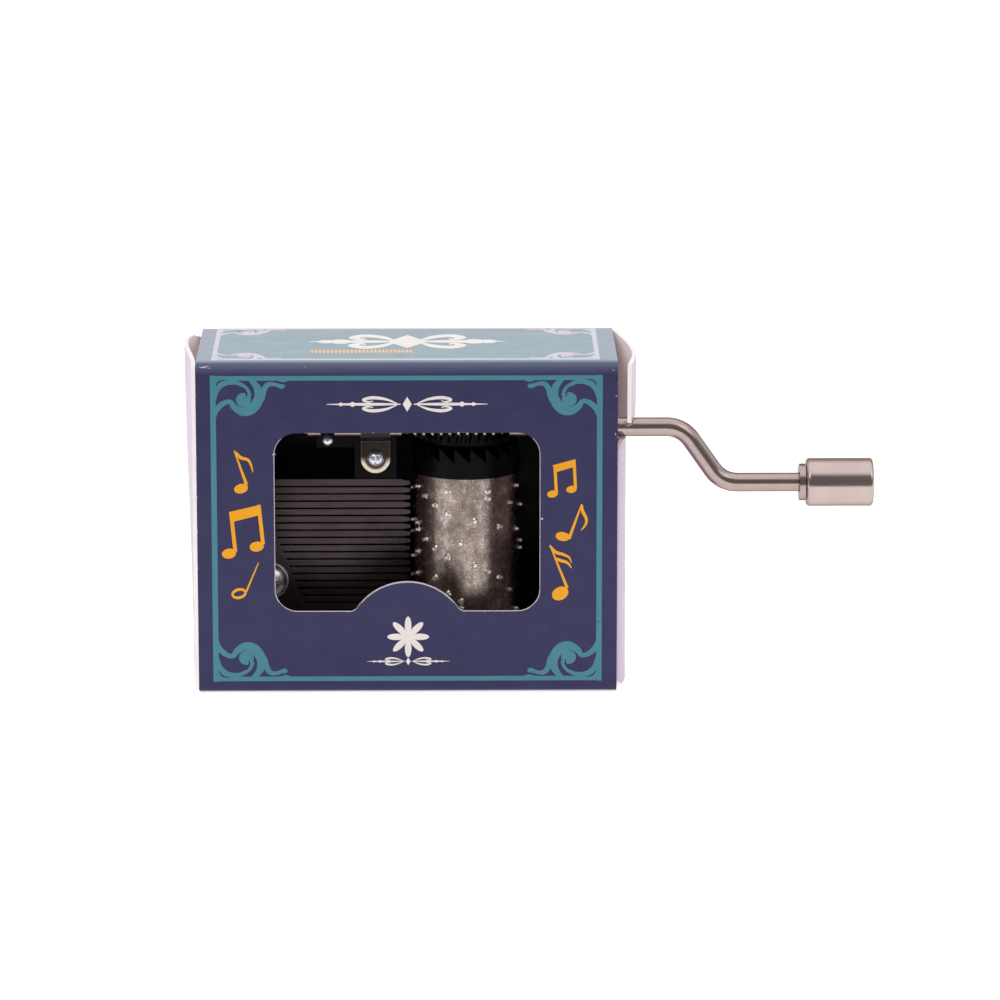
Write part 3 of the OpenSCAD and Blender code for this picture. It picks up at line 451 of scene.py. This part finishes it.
def metal(name, clean, dull, stretch, roughness, film_roughness, cover, line_depth, wear=0.3,
          rim=0.0, rim_width=0.0001, edge_tint="#ffffff", scuffs=0.0, rolled_end=None):
    """A metal finish with tool lines, tarnish, rubbed edges and a painted edge highlight."""
    made, tree, shader, place, _ = start(name, metallic=1.0)
    shader.inputs["Specular Tint"].default_value = srgb(edge_tint)
    lines = use(tree, "machined_lines", Position=place, Stretch=stretch)
    film = use(tree, "tarnish", Position=place, Clean=srgb(clean), Dull=srgb(dull), Cover=cover)
    rubbed = use(tree, "edge_wear", Position=place, Width=rim_width, Amount=wear, Fleck_Size=2.5)
    tone = mix(tree, calc(tree, "MULTIPLY", lines["Streak"], 0.12), film["Color"], srgb(dull))
    scuff = calc(tree, "MULTIPLY", span(tree, noise(tree, place, 1.1, 5, 0.8), 0.66, 0.72), scuffs)
    tone = mix(tree, scuff, tone, srgb("#9d9492"))
    # Rubbed flecks are real wear; the edge term adds a painted highlight along every edge.
    wear_and_edge_highlight = calc(tree, "MAXIMUM", rubbed["Mask"], calc(tree, "MULTIPLY", rubbed["Edge"], rim))
    relief = lines["Height"]
    if rolled_end:
        rolled = rolled_mask(tree, place, *rolled_end)
        # Painted highlight: the rolled end's colour is lifted to a pale crescent.
        tone = mix(tree, rolled, tone, srgb("#d6c6b6"))
        relief = calc(tree, "SUBTRACT", calc(tree, "MULTIPLY", relief, line_depth / roll_depth),
                      rolled)
        line_depth = roll_depth
    feed(tree, shader.inputs["Base Color"], mix(tree, wear_and_edge_highlight, tone, srgb("#e8dfd6")))
    rough = calc(tree, "ADD", roughness, calc(tree, "MULTIPLY", film["Film"], film_roughness))
    feed(tree, shader.inputs["Roughness"],
         calc(tree, "ADD", rough, calc(tree, "MULTIPLY", lines["Streak"], 0.05)))
    raise_surface(tree, shader, relief, line_depth, 0.5)
    return made


strap_points = [point.co / mm for point in nodes["shaft_strap"].data.vertices]
strap_left, strap_right = (pick(p.x for p in strap_points) for pick in (min, max))
strap_x, strap_half = (strap_left + strap_right) / 2, (strap_right - strap_left) / 2
strap_end_z = min(p.z for p in strap_points) + strap_half
# Clean colour, dull colour, stretch, roughness, the film's roughness, cover and line depth
finish = {name: metal(name, *values, **extras) for name, values, extras in (
    ("crank_steel", ("#ae9d98", "#877571", (0.12, 1, 1), 0.17, 0.06, 0.22, 0.002),
     {"edge_tint": "#8c8280"}),
    ("knob_metal", ("#bbaba5", "#988883", (0.35, 0.05, 0.05), 0.15, 0.05, 0.16, 0.001),
     {"edge_tint": "#aba19e", "scuffs": 0.15}),
    ("comb_steel", ("#504647", "#3c3334", (0.10, 1, 2.5), 0.36, 0.08, 0.35, 0.003),
     {"scuffs": 0.45}),
    ("bright_steel", ("#d9dbe4", "#a3a0a6", (1, 1, 1), 0.22, 0.12, 0.25, 0.003),
     {"wear": 0.5, "rim": 0.5}),
    ("spring_steel", ("#322b2a", "#221d1c", (1, 1, 0.2), 0.22, 0.10, 0.4, 0.003),
     {"rim": 0.08, "rim_width": 0.0002,
      "rolled_end": (strap_x, strap_end_z, 1.15, 1.65)}),
    ("arbor_steel", ("#b9afa8", "#7d736c", (1, 1, 4), 0.22, 0.2, 0.5, 0.003), {}),
    ("burr_steel", ("#e3dad3", "#8d8078", (1, 1, 1), 0.24, 0.10, 0.3, 0.004), {}),
    ("washer_brass", ("#c9a45c", "#86693a", (1, 1, 1), 0.24, 0.2, 0.5, 0.003), {}),
)}
print(len(finish), "metals; the strap's round end is centred on",
      round(strap_x, 2), round(strap_end_z, 2), "with radius", round(strap_half, 2))

# %% [markdown]
# The cylinder is a thin drawn tube with hard pins pressed through it. The tube is handled,
# oiled and dull, with bright patches and glints painted on it as highlights, while the pins
# are ground to one height at the very end and shine. The distance from the cylinder's own
# axis tells one from the other.

# %% Material: cylinder_steel
axis_x, tube_r = 7.5, 6.72
made, tree, shader, place, _ = start("cylinder_steel", metallic=1.0)
x, y, _ = parts_of(tree, place)
radius = length_of(tree, calc(tree, "SUBTRACT", x, axis_x), y)
pin = calc(tree, "GREATER_THAN", radius, tube_r)
film = use(tree, "tarnish", Position=place, Clean=srgb("#b4a49b"), Dull=srgb("#66574f"),
           Cover=0.75)
lines = use(tree, "machined_lines", Position=place, Stretch=(1.0, 1.0, 0.18))
grit = span(tree, noise(tree, place, 4.5, 4, 0.75), 0.36, 0.66)
tube = mix(tree, calc(tree, "MULTIPLY", grit, 0.42), film["Color"], srgb("#5e514b"))
tube = mix(tree, calc(tree, "MULTIPLY", lines["Streak"], 0.35), tube, srgb("#5c4f49"))
# Painted highlights: bright patches and small glints lift the tube towards near white.
painted_bright_patches = span(tree, noise(tree, place, 0.6, 4, 0.7), 0.48, 0.72)
tube = mix(tree, calc(tree, "MULTIPLY", painted_bright_patches, 0.42), tube, srgb("#e6dbd3"))
glint = span(tree, noise(tree, place, 3.2, 4, 0.8), 0.60, 0.66)
tube = mix(tree, calc(tree, "MULTIPLY", glint, 0.75), tube, srgb("#e9dfd8"))
feed(tree, shader.inputs["Base Color"], mix(tree, pin, tube, srgb("#f2ebe5")))
dirt = calc(tree, "ADD", film["Film"], grit)
dulled = calc(tree, "ADD", 0.20, calc(tree, "MULTIPLY", dirt, 0.13))
feed(tree, shader.inputs["Roughness"],
     calc(tree, "ADD", calc(tree, "MULTIPLY", dulled, calc(tree, "SUBTRACT", 1.0, pin)),
          calc(tree, "MULTIPLY", pin, 0.48)))
raise_surface(tree, shader, calc(tree, "ADD", lines["Height"], grit), 0.007, 0.8)
finish["cylinder_steel"] = made
print("cylinder_steel: pins shine beyond", tube_r, "mm from the axis")

# %% [markdown]
# The bedplate, wheel and caps are moulded in black acetal or nylon. Black plastic still shows
# its gloss, a slight greyness in its skin and the dust it gathers. Its edges are lightened in
# broken flecks, partly rub wear and partly a painted highlight.

# %% Material: black_plastic
made, tree, shader, place, facing = start("black_plastic", roughness=0.34, specular=0.08)
skin = use(tree, "moulded_skin", Position=place, Normal=facing)
edge = use(tree, "edge_wear", Position=place, Width=0.00012, Amount=0.35, Fleck_Size=2.0)
tone = mix(tree, skin["Patch"], srgb("#060506"), srgb("#0b0a0b"))
# Edge flecks: partly rub wear, partly a painted highlight on the edges.
tone = mix(tree, calc(tree, "MULTIPLY", edge["Mask"], 0.5), tone, srgb("#3b383b"))
feed(tree, shader.inputs["Base Color"],
     mix(tree, calc(tree, "MULTIPLY", skin["Dust"], 0.12), tone, srgb("#7d7876")))
greyed = calc(tree, "ADD", skin["Patch"], skin["Dust"])
feed(tree, shader.inputs["Roughness"],
     calc(tree, "ADD", 0.28, calc(tree, "MULTIPLY", greyed, 0.14)))
raise_surface(tree, shader, skin["Height"], 0.006, 0.5)
finish.update(black_plastic=made, printed_board=board, flap_board=flap_paper,
              inner_board=inner_paper)
print("black_plastic; finishes:", len(finish))

# %% [markdown]
# Every CAD node came with a plain material named after its slot. The finish of the same name
# takes its place, so that one table says what each piece is made of.

# %% Put each finish on its CAD nodes
for name, node in sorted(nodes.items()):
    slot = node.data.materials[0].name.split(".")[0]
    node.data.materials[0] = finish[slot]
    print(name, "->", slot)

# %% [markdown]
# ## Burrs round the pins
# Each pin is driven through a punched hole, and the punch throws up a low ragged lip round
# it. The lips catch light that the dull tube doesn't. They are short cones, one to a pin, and
# the pins are found in the CAD mesh itself, so the tune stays in one place only.

# %% Pin burrs
tip_r, same_pin = 7.0, 0.5           # points beyond the one belong to pins, and lie this near
seat_r = 6.7                         # where a burr stands on the tube
rings = ((0.46, -0.04), (0.30, 0.09))  # radius and rise of its foot and its lip
sides = 10
drum, tips = nodes["pinned_cylinder"], []
for vertex in drum.data.vertices:
    p = drum.matrix_world @ vertex.co / mm
    if math.hypot(p.x - axis_x, p.y) < tip_r:
        continue
    for tip in tips:
        if (tip[0] - p).length < same_pin:
            tip[1] += p
            tip[2] += 1
            break
    else:
        tips.append([p, p.copy(), 1])
verts, faces = [], []
for number, (_, total, points_in) in enumerate(tips):
    middle = total / points_in
    out = Vector((middle.x - axis_x, middle.y, 0)).normalized()
    along, across = Vector((0, 0, 1)), out.cross(Vector((0, 0, 1)))
    foot = Vector((axis_x, 0, middle.z)) + out * seat_r
    first = len(verts)
    for r, rise in rings:
        for k in range(sides):
            a = 2 * math.pi * k / sides
            ragged = 1 + 0.16 * math.sin(3 * a + number) + 0.10 * math.sin(5 * a + 2.3 * number)
            verts.append((foot + out * rise + (along * math.cos(a) + across * math.sin(a))
                          * r * ragged) * mm)
    low = list(range(first, first + sides))
    high = [i + sides for i in low]
    faces += [tuple(high), tuple(low[::-1])]
    faces += [(a, b, d, c)
              for a, b, c, d in zip(low, low[1:] + low[:1], high, high[1:] + high[:1])]
lips = bpy.data.meshes.new("pin_burrs")
lips.from_pydata([tuple(v) for v in verts], [], faces)
lips.materials.append(finish["burr_steel"])
burrs = bpy.data.objects.new("pin_burrs", lips)
bpy.context.scene.collection.objects.link(burrs)
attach(burrs, "cylinder")
print(len(tips), "pins, each with a burr")

# %% [markdown]
# ## Printing
# Printed ornament could be an image, but an image goes soft when seen close up. It is drawn
# instead as thin slabs of ink. Strokes and ellipses overlap freely, and a constrained Delaunay
# triangulation joins them into one clean outline.

# %% Ink drawing helpers
ink_sink, ink_rise = 0.004, 0.011    # how deep the ink lies in the board, and how high on it
thinnest = 0.02                      # the finest line that can be printed


def area(points):
    """Signed area of a polygon, positive if it runs anticlockwise."""
    return sum(a[0] * b[1] - b[0] * a[1] for a, b in zip(points, points[1:] + points[:1])) / 2


def smooth_line(points, widths, steps=8):
    """A Catmull-Rom curve through the points, with the width carried along."""
    line = [(x, y, w) for (x, y), w in zip(points, widths)]
    line = [line[0]] + line + [line[-1]]
    out = []
    for four in zip(line, line[1:], line[2:], line[3:]):
        for k in range(steps):
            t = k / steps
            out.append([0.5 * (2 * b + (d - a) * t + (2 * a - 5 * b + 4 * d - e) * t * t
                               + (3 * b - a - 3 * d + e) * t ** 3)
                        for a, b, d, e in zip(*four)])
    return out + [line[-1]]


def stroke(points, widths):
    """A brush stroke of changing width, in triangles, which can't cross themselves in a bend."""
    line = smooth_line(points, widths)
    pairs = []
    for i, (px, py, w) in enumerate(line):
        a, b = line[max(i - 1, 0)], line[min(i + 1, len(line) - 1)]
        dx, dy = b[0] - a[0], b[1] - a[1]
        long = math.hypot(dx, dy) or 1.0
        half = max(w, thinnest) / 2
        pairs.append(((px - dy / long * half, py + dx / long * half),
                      (px + dy / long * half, py - dx / long * half)))
    return [tri for p, q in zip(pairs, pairs[1:])
            for tri in ([p[0], p[1], q[1]], [p[0], q[1], q[0]])]


def ellipse(cx, cy, rx, ry, tilt=0.0, count=28):
    """A tilted ellipse."""
    t = math.radians(tilt)
    return [(cx + rx * math.cos(a) * math.cos(t) - ry * math.sin(a) * math.sin(t),
             cy + rx * math.cos(a) * math.sin(t) + ry * math.sin(a) * math.cos(t))
            for a in (2 * math.pi * k / count for k in range(count))]


def bar(x0, y0, x1, y1):
    """An upright rectangle."""
    return [(x0, y0), (x1, y0), (x1, y1), (x0, y1)]


def press(name, side, shapes, ink, holes=()):
    """Joins the shapes, less the holes, into one slab of ink on a side of the carton."""
    points, loops, solid = [], [], set()
    for outline, inked in [(s, True) for s in shapes] + [(s, False) for s in holes]:
        size = area(outline)
        if abs(size) < 1e-5:
            continue
        if inked:
            solid.add(len(loops))
        loops.append(list(range(len(points), len(points) + len(outline))))
        points += [Vector(p) for p in (outline if size > 0 else outline[::-1])]
    flat, _, cells, _, _, source = delaunay_2d_cdt(points, [], loops, 1, 1e-5)
    kept = [tuple(cell) for cell, ids in zip(cells, source) if ids and solid.issuperset(ids)]
    place = {"front": lambda u, v, h: (u, -half_deep - h, v),
             "top": lambda u, v, h: (u, v, carton_tall + h),
             "back": lambda u, v, h: (-u, half_deep + h, v)}[side]
    used = sorted({i for cell in kept for i in cell})
    at = {i: k for k, i in enumerate(used)}
    n = len(used)
    verts = [tuple(c * mm for c in place(flat[i][0], flat[i][1], h))
             for h in (ink_rise, -ink_sink) for i in used]
    quads = [tuple(at[i] for i in cell) for cell in kept]
    seen = {(a, b) for q in quads for a, b in zip(q, q[1:] + q[:1])}
    walls = [(b, a, a + n, b + n) for a, b in sorted(seen) if (b, a) not in seen]
    mesh = bpy.data.meshes.new(name)
    mesh.from_pydata(verts, [], quads + [tuple(i + n for i in q[::-1]) for q in quads] + walls)
    mesh.validate()
    mesh.materials.append(ink)
    made = bpy.data.objects.new(name, mesh)
    bpy.context.scene.collection.objects.link(made)
    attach(made, "case")
    print(name, len(shapes), "shapes ->", len(quads), "faces")


# %% [markdown]
# Printing ink lies in a film thinner than a hair. It takes the board's mottle, and it lets
# tiny specks of the layer below show through where the fibres stood proud.

# %% Group: ink_film
tree, take, give = new_group(
    "ink_film", [("Position", "Vector", None), ("Ink", "Color", None), ("Ground", "Color", None)],
    [("Color", "Color"), ("Gloss", "Float"), ("Height", "Float")])
grain = use(tree, "paper_grain", Position=take["Position"])
holes = span(tree, noise(tree, take["Position"], 11.0, 2, 0.6), 0.68, 0.76)
thin = calc(tree, "ADD", calc(tree, "MULTIPLY", grain["Mottle"], 0.06),
            calc(tree, "MULTIPLY", holes, 0.5))
feed(tree, give["Color"], mix(tree, thin, take["Ink"], take["Ground"]))
feed(tree, give["Gloss"],
     calc(tree, "ADD", 0.34, calc(tree, "MULTIPLY", grain["Mottle"], 0.08)))
feed(tree, give["Height"], grain["Height"])
print("group ink_film")


# %% [markdown]
# The inks differ in colour and in what lies under them. Orange, cream and teal go over the
# navy. The lilac goes over the top's teal, and the bare fibre is where all ink has come off.

# %% Ink materials
def ink(name, code, ground=navy):
    """A printing ink over its ground. On the top it lies under varnish like the board."""
    made, tree, shader, place, facing = start(name, coat_roughness=0.22, specular=0.2)
    film = use(tree, "ink_film", Position=place, Ink=srgb(code), Ground=ground)
    feed(tree, shader.inputs["Base Color"], film["Color"])
    feed(tree, shader.inputs["Roughness"], film["Gloss"])
    upward = calc(tree, "GREATER_THAN", parts_of(tree, facing)[2], 0.5)
    feed(tree, shader.inputs["Coat Weight"], calc(tree, "MULTIPLY", varnish, upward))
    raise_surface(tree, shader, film["Height"], 0.008, 0.6)
    return made


ink_teal = ink("ink_teal", "#4b8695")
ink_orange = ink("ink_orange", "#f5a81c")
ink_cream = ink("ink_cream", "#f0e6e2")
ink_lilac = ink("ink_lilac", "#c9bdd4", teal)
ink_raw = ink("ink_raw_fibre", "#c9bfca")
print("four inks and bare fibre")

# %% [markdown]
# ## Frame with corner scrolls
# A line frame with a scroll in each corner is a printer's stock ornament. One corner is drawn
# in tenths of a millimetre inward from the frame's outer corner, then mirrored to four.

# %% Corner scroll
scroll = [
    ([(49, 3), (59, 15), (61, 29), (53, 42), (41, 46), (30, 40), (26, 34), (20, 34), (13, 38),
      (6, 47), (3, 62), (1, 80)], [5, 9, 12, 13, 11, 8, 6, 6, 7, 7, 4, 1]),
    ([(6, 31), (8, 20), (15, 12), (25, 9), (36, 10), (46, 17), (51, 26)], [3, 6, 6, 5, 5, 5, 3]),
    ([(58, 40), (65, 30), (67.5, 19), (72, 12), (79, 10.8), (85, 12.4), (90.5, 14), (92.5, 11.5)],
     [4, 6, 7, 6.5, 5, 5, 6, 4]),
    ([(84, 4.5), (92, 6.5), (100, 4.5)], [3, 4, 2]),
]
slits = [([(37, 14), (42, 16.5), (45.5, 22), (45.5, 28)], [0.8, 2.0, 2.2, 0.8]),
         ([(50, 17), (53, 23), (53, 29), (50.5, 35)], [0.7, 1.8, 1.8, 0.7]),
         ([(7.5, 13.5), (10, 9), (14, 6.5), (20, 5.5)], [0.9, 2.0, 1.8, 0.7])]
corner_fill = [(5, 5), (22, 5), (5, 22)]


def framed(left, right, low, high, width, reach=1.0, depth=1.0, level=0.6):
    """The frame's four bars and its four corner scrolls to be pressed, and the slits to leave."""
    h, v = width / 2, level / 2
    shapes = [bar(left - h, low - v, right + h, low + v),
              bar(left - h, high - v, right + h, high + v),
              bar(left - h, low - h, left + h, high + h),
              bar(right - h, low - h, right + h, high + h)]
    cuts = []
    for cx, sx in ((left - h, 1), (right + h, -1)):
        for cy, sy in ((high + h, -1), (low - h, 1)):
            def at(p):
                """A point of the scroll, placed in this corner."""
                return (cx + sx * p[0] * 0.1 * reach, cy + sy * p[1] * 0.1 * depth)
            for points, widths in scroll:
                shapes += stroke([at(p) for p in points], [w * 0.1 * depth for w in widths])
            shapes.append([at(p) for p in ellipse(42, 31, 9.5, 9)])
            shapes.append([at(p) for p in corner_fill])
            for points, widths in slits:
                cuts += stroke([at(p) for p in points], [w * 0.1 * depth for w in widths])
    return shapes, cuts


for side, ink_used, edges in (("front", ink_teal, (-24.31, 24.23, 1.75, 40.65, 0.7)),
                              ("back", ink_teal, (-24.3, 24.3, 1.75, 40.65, 0.7)),
                              ("top", ink_lilac, (-24.3, 24.0, -9.3, 11.0, 0.6, 0.95, 0.9, 0.95))):
    drawn, left_open = framed(*edges)
    press(side + "_frame_ink", side, drawn, ink_used, left_open)

# %% [markdown]
# ## Notes
# Plain music notes stand at both sides of the window. A note is a tilted oval head, a stem
# that thickens downward and a curved flag, or a bar across two stems.

# %% Music notes
flag = [0.26, 0.42, 0.36, 0.27, 0.10]


def stem(x0, y0, x1, y1, w0, w1):
    """A straight stem whose width runs from the first value to the second."""
    return stroke([(x0, y0), ((x0 + x1) / 2, (y0 + y1) / 2), (x1, y1)], [w0, (w0 + w1) / 2, w1])


left_notes = (
    stem(-21.7, 31.4, -20.2, 27.0, 0.16, 0.41) + [ellipse(-20.9, 26.5, 0.89, 0.61, 15)]
    + stroke([(-21.5, 31.2), (-20.9, 30.5), (-20.0, 30.2), (-19.6, 29.5), (-19.4, 28.6)], flag)
    + [[(-22.4, 23.5), (-18.5, 24.4), (-18.5, 23.1), (-22.0, 22.2)]]
    + stem(-22.2, 23.5, -21.7, 18.3, 0.48, 0.48) + stem(-18.7, 24.4, -18.2, 19.3, 0.48, 0.48)
    + [ellipse(-22.5, 18.1, 0.9, 0.65, 10), ellipse(-19.0, 19.0, 0.9, 0.65, 10)])
press("left_notes_ink", "front", left_notes, ink_orange)
press("half_note_ink", "front",
      stem(-20.4, 13.1, -18.8, 16.9, 0.26, 0.13) + [ellipse(-21.3, 12.9, 0.98, 0.71, 15)],
      ink_orange, holes=[ellipse(-21.3, 12.9, 0.68, 0.34, 15)])
right_notes = (
    [[(18.3, 29.4), (21.2, 30.2), (21.0, 29.2), (18.7, 28.5)]]
    + stem(18.6, 29.4, 18.8, 25.7, 0.39, 0.39) + stem(21.0, 30.1, 21.2, 26.5, 0.39, 0.39)
    + [ellipse(18.3, 25.7, 0.67, 0.46, 10), ellipse(20.7, 26.3, 0.67, 0.46, 10)]
    + stem(22.0, 24.4, 20.4, 19.9, 0.18, 0.41) + [ellipse(19.6, 20.2, 0.9, 0.58, -10)]
    + stroke([(22.0, 24.3), (22.1, 23.5), (22.6, 22.4), (22.4, 21.6), (21.9, 21.0)], flag)
    + stem(18.0, 19.1, 20.2, 13.5, 0.15, 0.36) + [ellipse(19.3, 12.8, 1.09, 0.84, 30)]
    + stroke([(18.0, 19.0), (18.7, 18.2), (19.6, 17.9), (20.4, 17.5), (20.7, 16.8)], flag)
    + stroke([(18.8, 17.4), (19.3, 17.1), (20.0, 16.9), (20.4, 16.6), (20.7, 16.1)], flag))
press("right_notes_ink", "front", right_notes, ink_orange)

# %% [markdown]
# ## Generic ornament
# The places where a carton would carry words get a plain flourish: two tapered swashes that
# mirror each other about a small diamond. It says nothing, and it keeps the layout's weight.

# %% Flourishes
def flourish(cx, cy, half, tall):
    """A diamond between two fine tapered lines, each with a curl above and below it."""
    shapes = [[(cx - 0.3 * tall, cy), (cx, cy - 0.5 * tall), (cx + 0.3 * tall, cy),
               (cx, cy + 0.5 * tall)]]
    for s in (1, -1):
        def at(u, v):
            """A point of the flourish, on this side of its middle."""
            return (cx + s * u * half, cy + v * tall)
        shapes += stroke([at(0.08, 0), at(0.4, 0), at(0.7, 0), at(0.97, 0)],
                         [0.07 * tall, 0.20 * tall, 0.15 * tall, 0.03 * tall])
        for side in (1, -1):
            curl = [at(0.12, 0.04 * side), at(0.26, 0.34 * side), at(0.42, 0.44 * side),
                    at(0.53, 0.30 * side), at(0.47, 0.16 * side), at(0.41, 0.23 * side)]
            shapes += stroke(curl, [w * tall for w in (0.05, 0.17, 0.22, 0.17, 0.11, 0.05)])
        shapes += [ellipse(*at(u, 0), r * tall, r * tall, 0, 16)
                   for u, r in ((0.66, 0.17), (0.80, 0.13))]
    return shapes


press("front_flourish_ink", "front", flourish(0.05, 37.3, 10.4, 1.9), ink_cream)
press("top_flourish_ink", "top", flourish(0.0, 2.3, 12.9, 8.6), ink_cream)
beads = [ellipse(-12.0 + 0.5 * k, -4.1, 0.17, 1.15, 0, 14) for k in range(26)]
press("top_beads_ink", "top", beads, ink_orange)
rose_x, rose_z, petal_r = 0.05, 7.2, 1.5
petals = [ellipse(rose_x + petal_r * math.cos(a), rose_z + petal_r * math.sin(a), 1.15, 0.42,
                  math.degrees(a)) for a in (math.pi * k / 4 for k in range(8))]
press("rosette_ink", "front", petals + [ellipse(rose_x, rose_z, 0.62, 0.62)], ink_cream)
press("rosette_swash_ink", "front", flourish(0.05, 4.0, 5.4, 1.0), ink_cream)

# %% [markdown]
# ## Torn fibres
# Where a die cuts board, tiny bridges are left that hold the waste until it is pushed out.
# They tear, and leave nibs of raw fibre on the edge. Corners that are opened often scuff
# too. Each tuft is a small ragged shape, pressed like the inks.

# %% Tufts
def tuft(x, z, wide, tall, turn):
    """A ragged spot whose outline comes from three waves, so it is the same at each run."""
    out = []
    for k in range(22):
        a = 2 * math.pi * k / 22
        r = 1 + 0.25 * math.sin(2 * a + turn) + 0.20 * math.sin(5 * a + 3 * turn) \
            + 0.22 * math.sin(8 * a + 2 * turn)
        out.append((x + wide * r * math.cos(a), z + tall * r * math.sin(a)))
    return out


press("worn_fibres", "front",
      [tuft(-16.72, 30.9, 0.17, 0.13, 0.4), tuft(16.98, 22.5, 0.13, 0.15, 1.3),
       tuft(-25.55, 42.05, 0.30, 0.10, 2.2), tuft(-25.15, 42.15, 0.34, 0.07, 0.7),
       tuft(-24.75, 41.95, 0.14, 0.05, 1.9), tuft(25.9, 41.6, 0.08, 0.07, 0.9),
       tuft(26.3, 38.3, 0.06, 0.12, 1.8), tuft(26.2, 33.4, 0.05, 0.15, 2.9),
       tuft(24.1, 9.1, 0.05, 0.13, 2.4), tuft(-12.7, 42.1, 0.07, 0.05, 1.1)], ink_raw)

# %% [markdown]
# ## Studio
# A white sweep and one big soft sky. Metal needs something dark to reflect or it looks like
# grey plastic, so the side behind the camera is left dim, low down, and the white floor ends
# just outside the view. That puts the dark band along the middle of each round bar. Light
# Path lets the eye see plain white there all the same, so the sweep has no edge from behind.

# %% Floor, sky and lamps
floor_mesh = bpy.data.meshes.new("studio_floor")
near_y, far = -0.17, 6.0             # where the floor ends before the carton, and beyond it
floor_mesh.from_pydata([(-far, near_y, 0), (far, near_y, 0), (far, far, 0), (-far, far, 0)], [],
                       [(0, 1, 2, 3)])
floor = bpy.data.objects.new("studio_floor", floor_mesh)
floor.location.z = -0.00002
bpy.context.scene.collection.objects.link(floor)
white, _, shader, _, _ = start("studio_white", roughness=0.9, specular=0.1)
shader.inputs["Base Color"].default_value = (0.92, 0.92, 0.92, 1)
shader.inputs["Emission Color"].default_value = (1, 1, 1, 1)
shader.inputs["Emission Strength"].default_value = 0.45
floor_mesh.materials.append(white)
floor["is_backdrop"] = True

sky = bpy.data.worlds.new("studio_sky")
bpy.context.scene.world = sky
sky.use_nodes = True
tree = sky.node_tree
direction = add(tree, "TexCoord")
dim_share, horizon_share, overhead_gain = 0.79, 0.35, 0.35
_, dy, dz = parts_of(tree, direction.outputs["Generated"])
high_up = span(tree, dz, 0.60, 0.84)
behind_us = span(tree, dy, 0.0, -0.5)
dim = calc(tree, "MULTIPLY", behind_us, calc(tree, "SUBTRACT", 1.0, high_up))
far_low = calc(tree, "MULTIPLY", span(tree, dy, 0.1, 0.6), calc(
    tree, "SUBTRACT", span(tree, dz, 0.30, 0.45), span(tree, dz, 0.62, 0.90)))
overhead = calc(tree, "MULTIPLY", span(tree, dz, 0.66, 0.92), overhead_gain)
taken = calc(tree, "ADD", calc(tree, "MULTIPLY", dim, dim_share),
             calc(tree, "MULTIPLY", far_low, horizon_share))
lit = calc(tree, "SUBTRACT", calc(tree, "ADD", 1.0, overhead), taken)
tree.nodes["Background"].inputs["Color"].default_value = (1, 1, 1, 1)
feed(tree, tree.nodes["Background"].inputs["Strength"],
     calc(tree, "MAXIMUM", lit, add(tree, "LightPath").outputs["Is Camera Ray"]))


def lamp(name, spot, size, watts):
    """A square soft lamp aimed at the carton."""
    light = bpy.data.lights.new(name, "AREA")
    light.size, light.energy = size, watts
    made = bpy.data.objects.new(name, light)
    made.location = spot
    made.rotation_euler = (look_at - Vector(spot)).to_track_quat("-Z", "Y").to_euler()
    bpy.context.scene.collection.objects.link(made)


lamp("soft_key", (-0.45, -0.75, 0.75), 0.45, 2.0)
lamp("soft_fill", (0.6, -0.5, 0.6), 0.5, 1.0)
bpy.context.scene.view_settings.view_transform = "Standard"
print("studio ready")

# %% [markdown]
# ## Sizes
# The shown object's box is printed in millimetres.

# %% Print the size
print("visual box", [round((b - a) / mm, 2) for a, b in zip(*box_of_shown())], "mm")
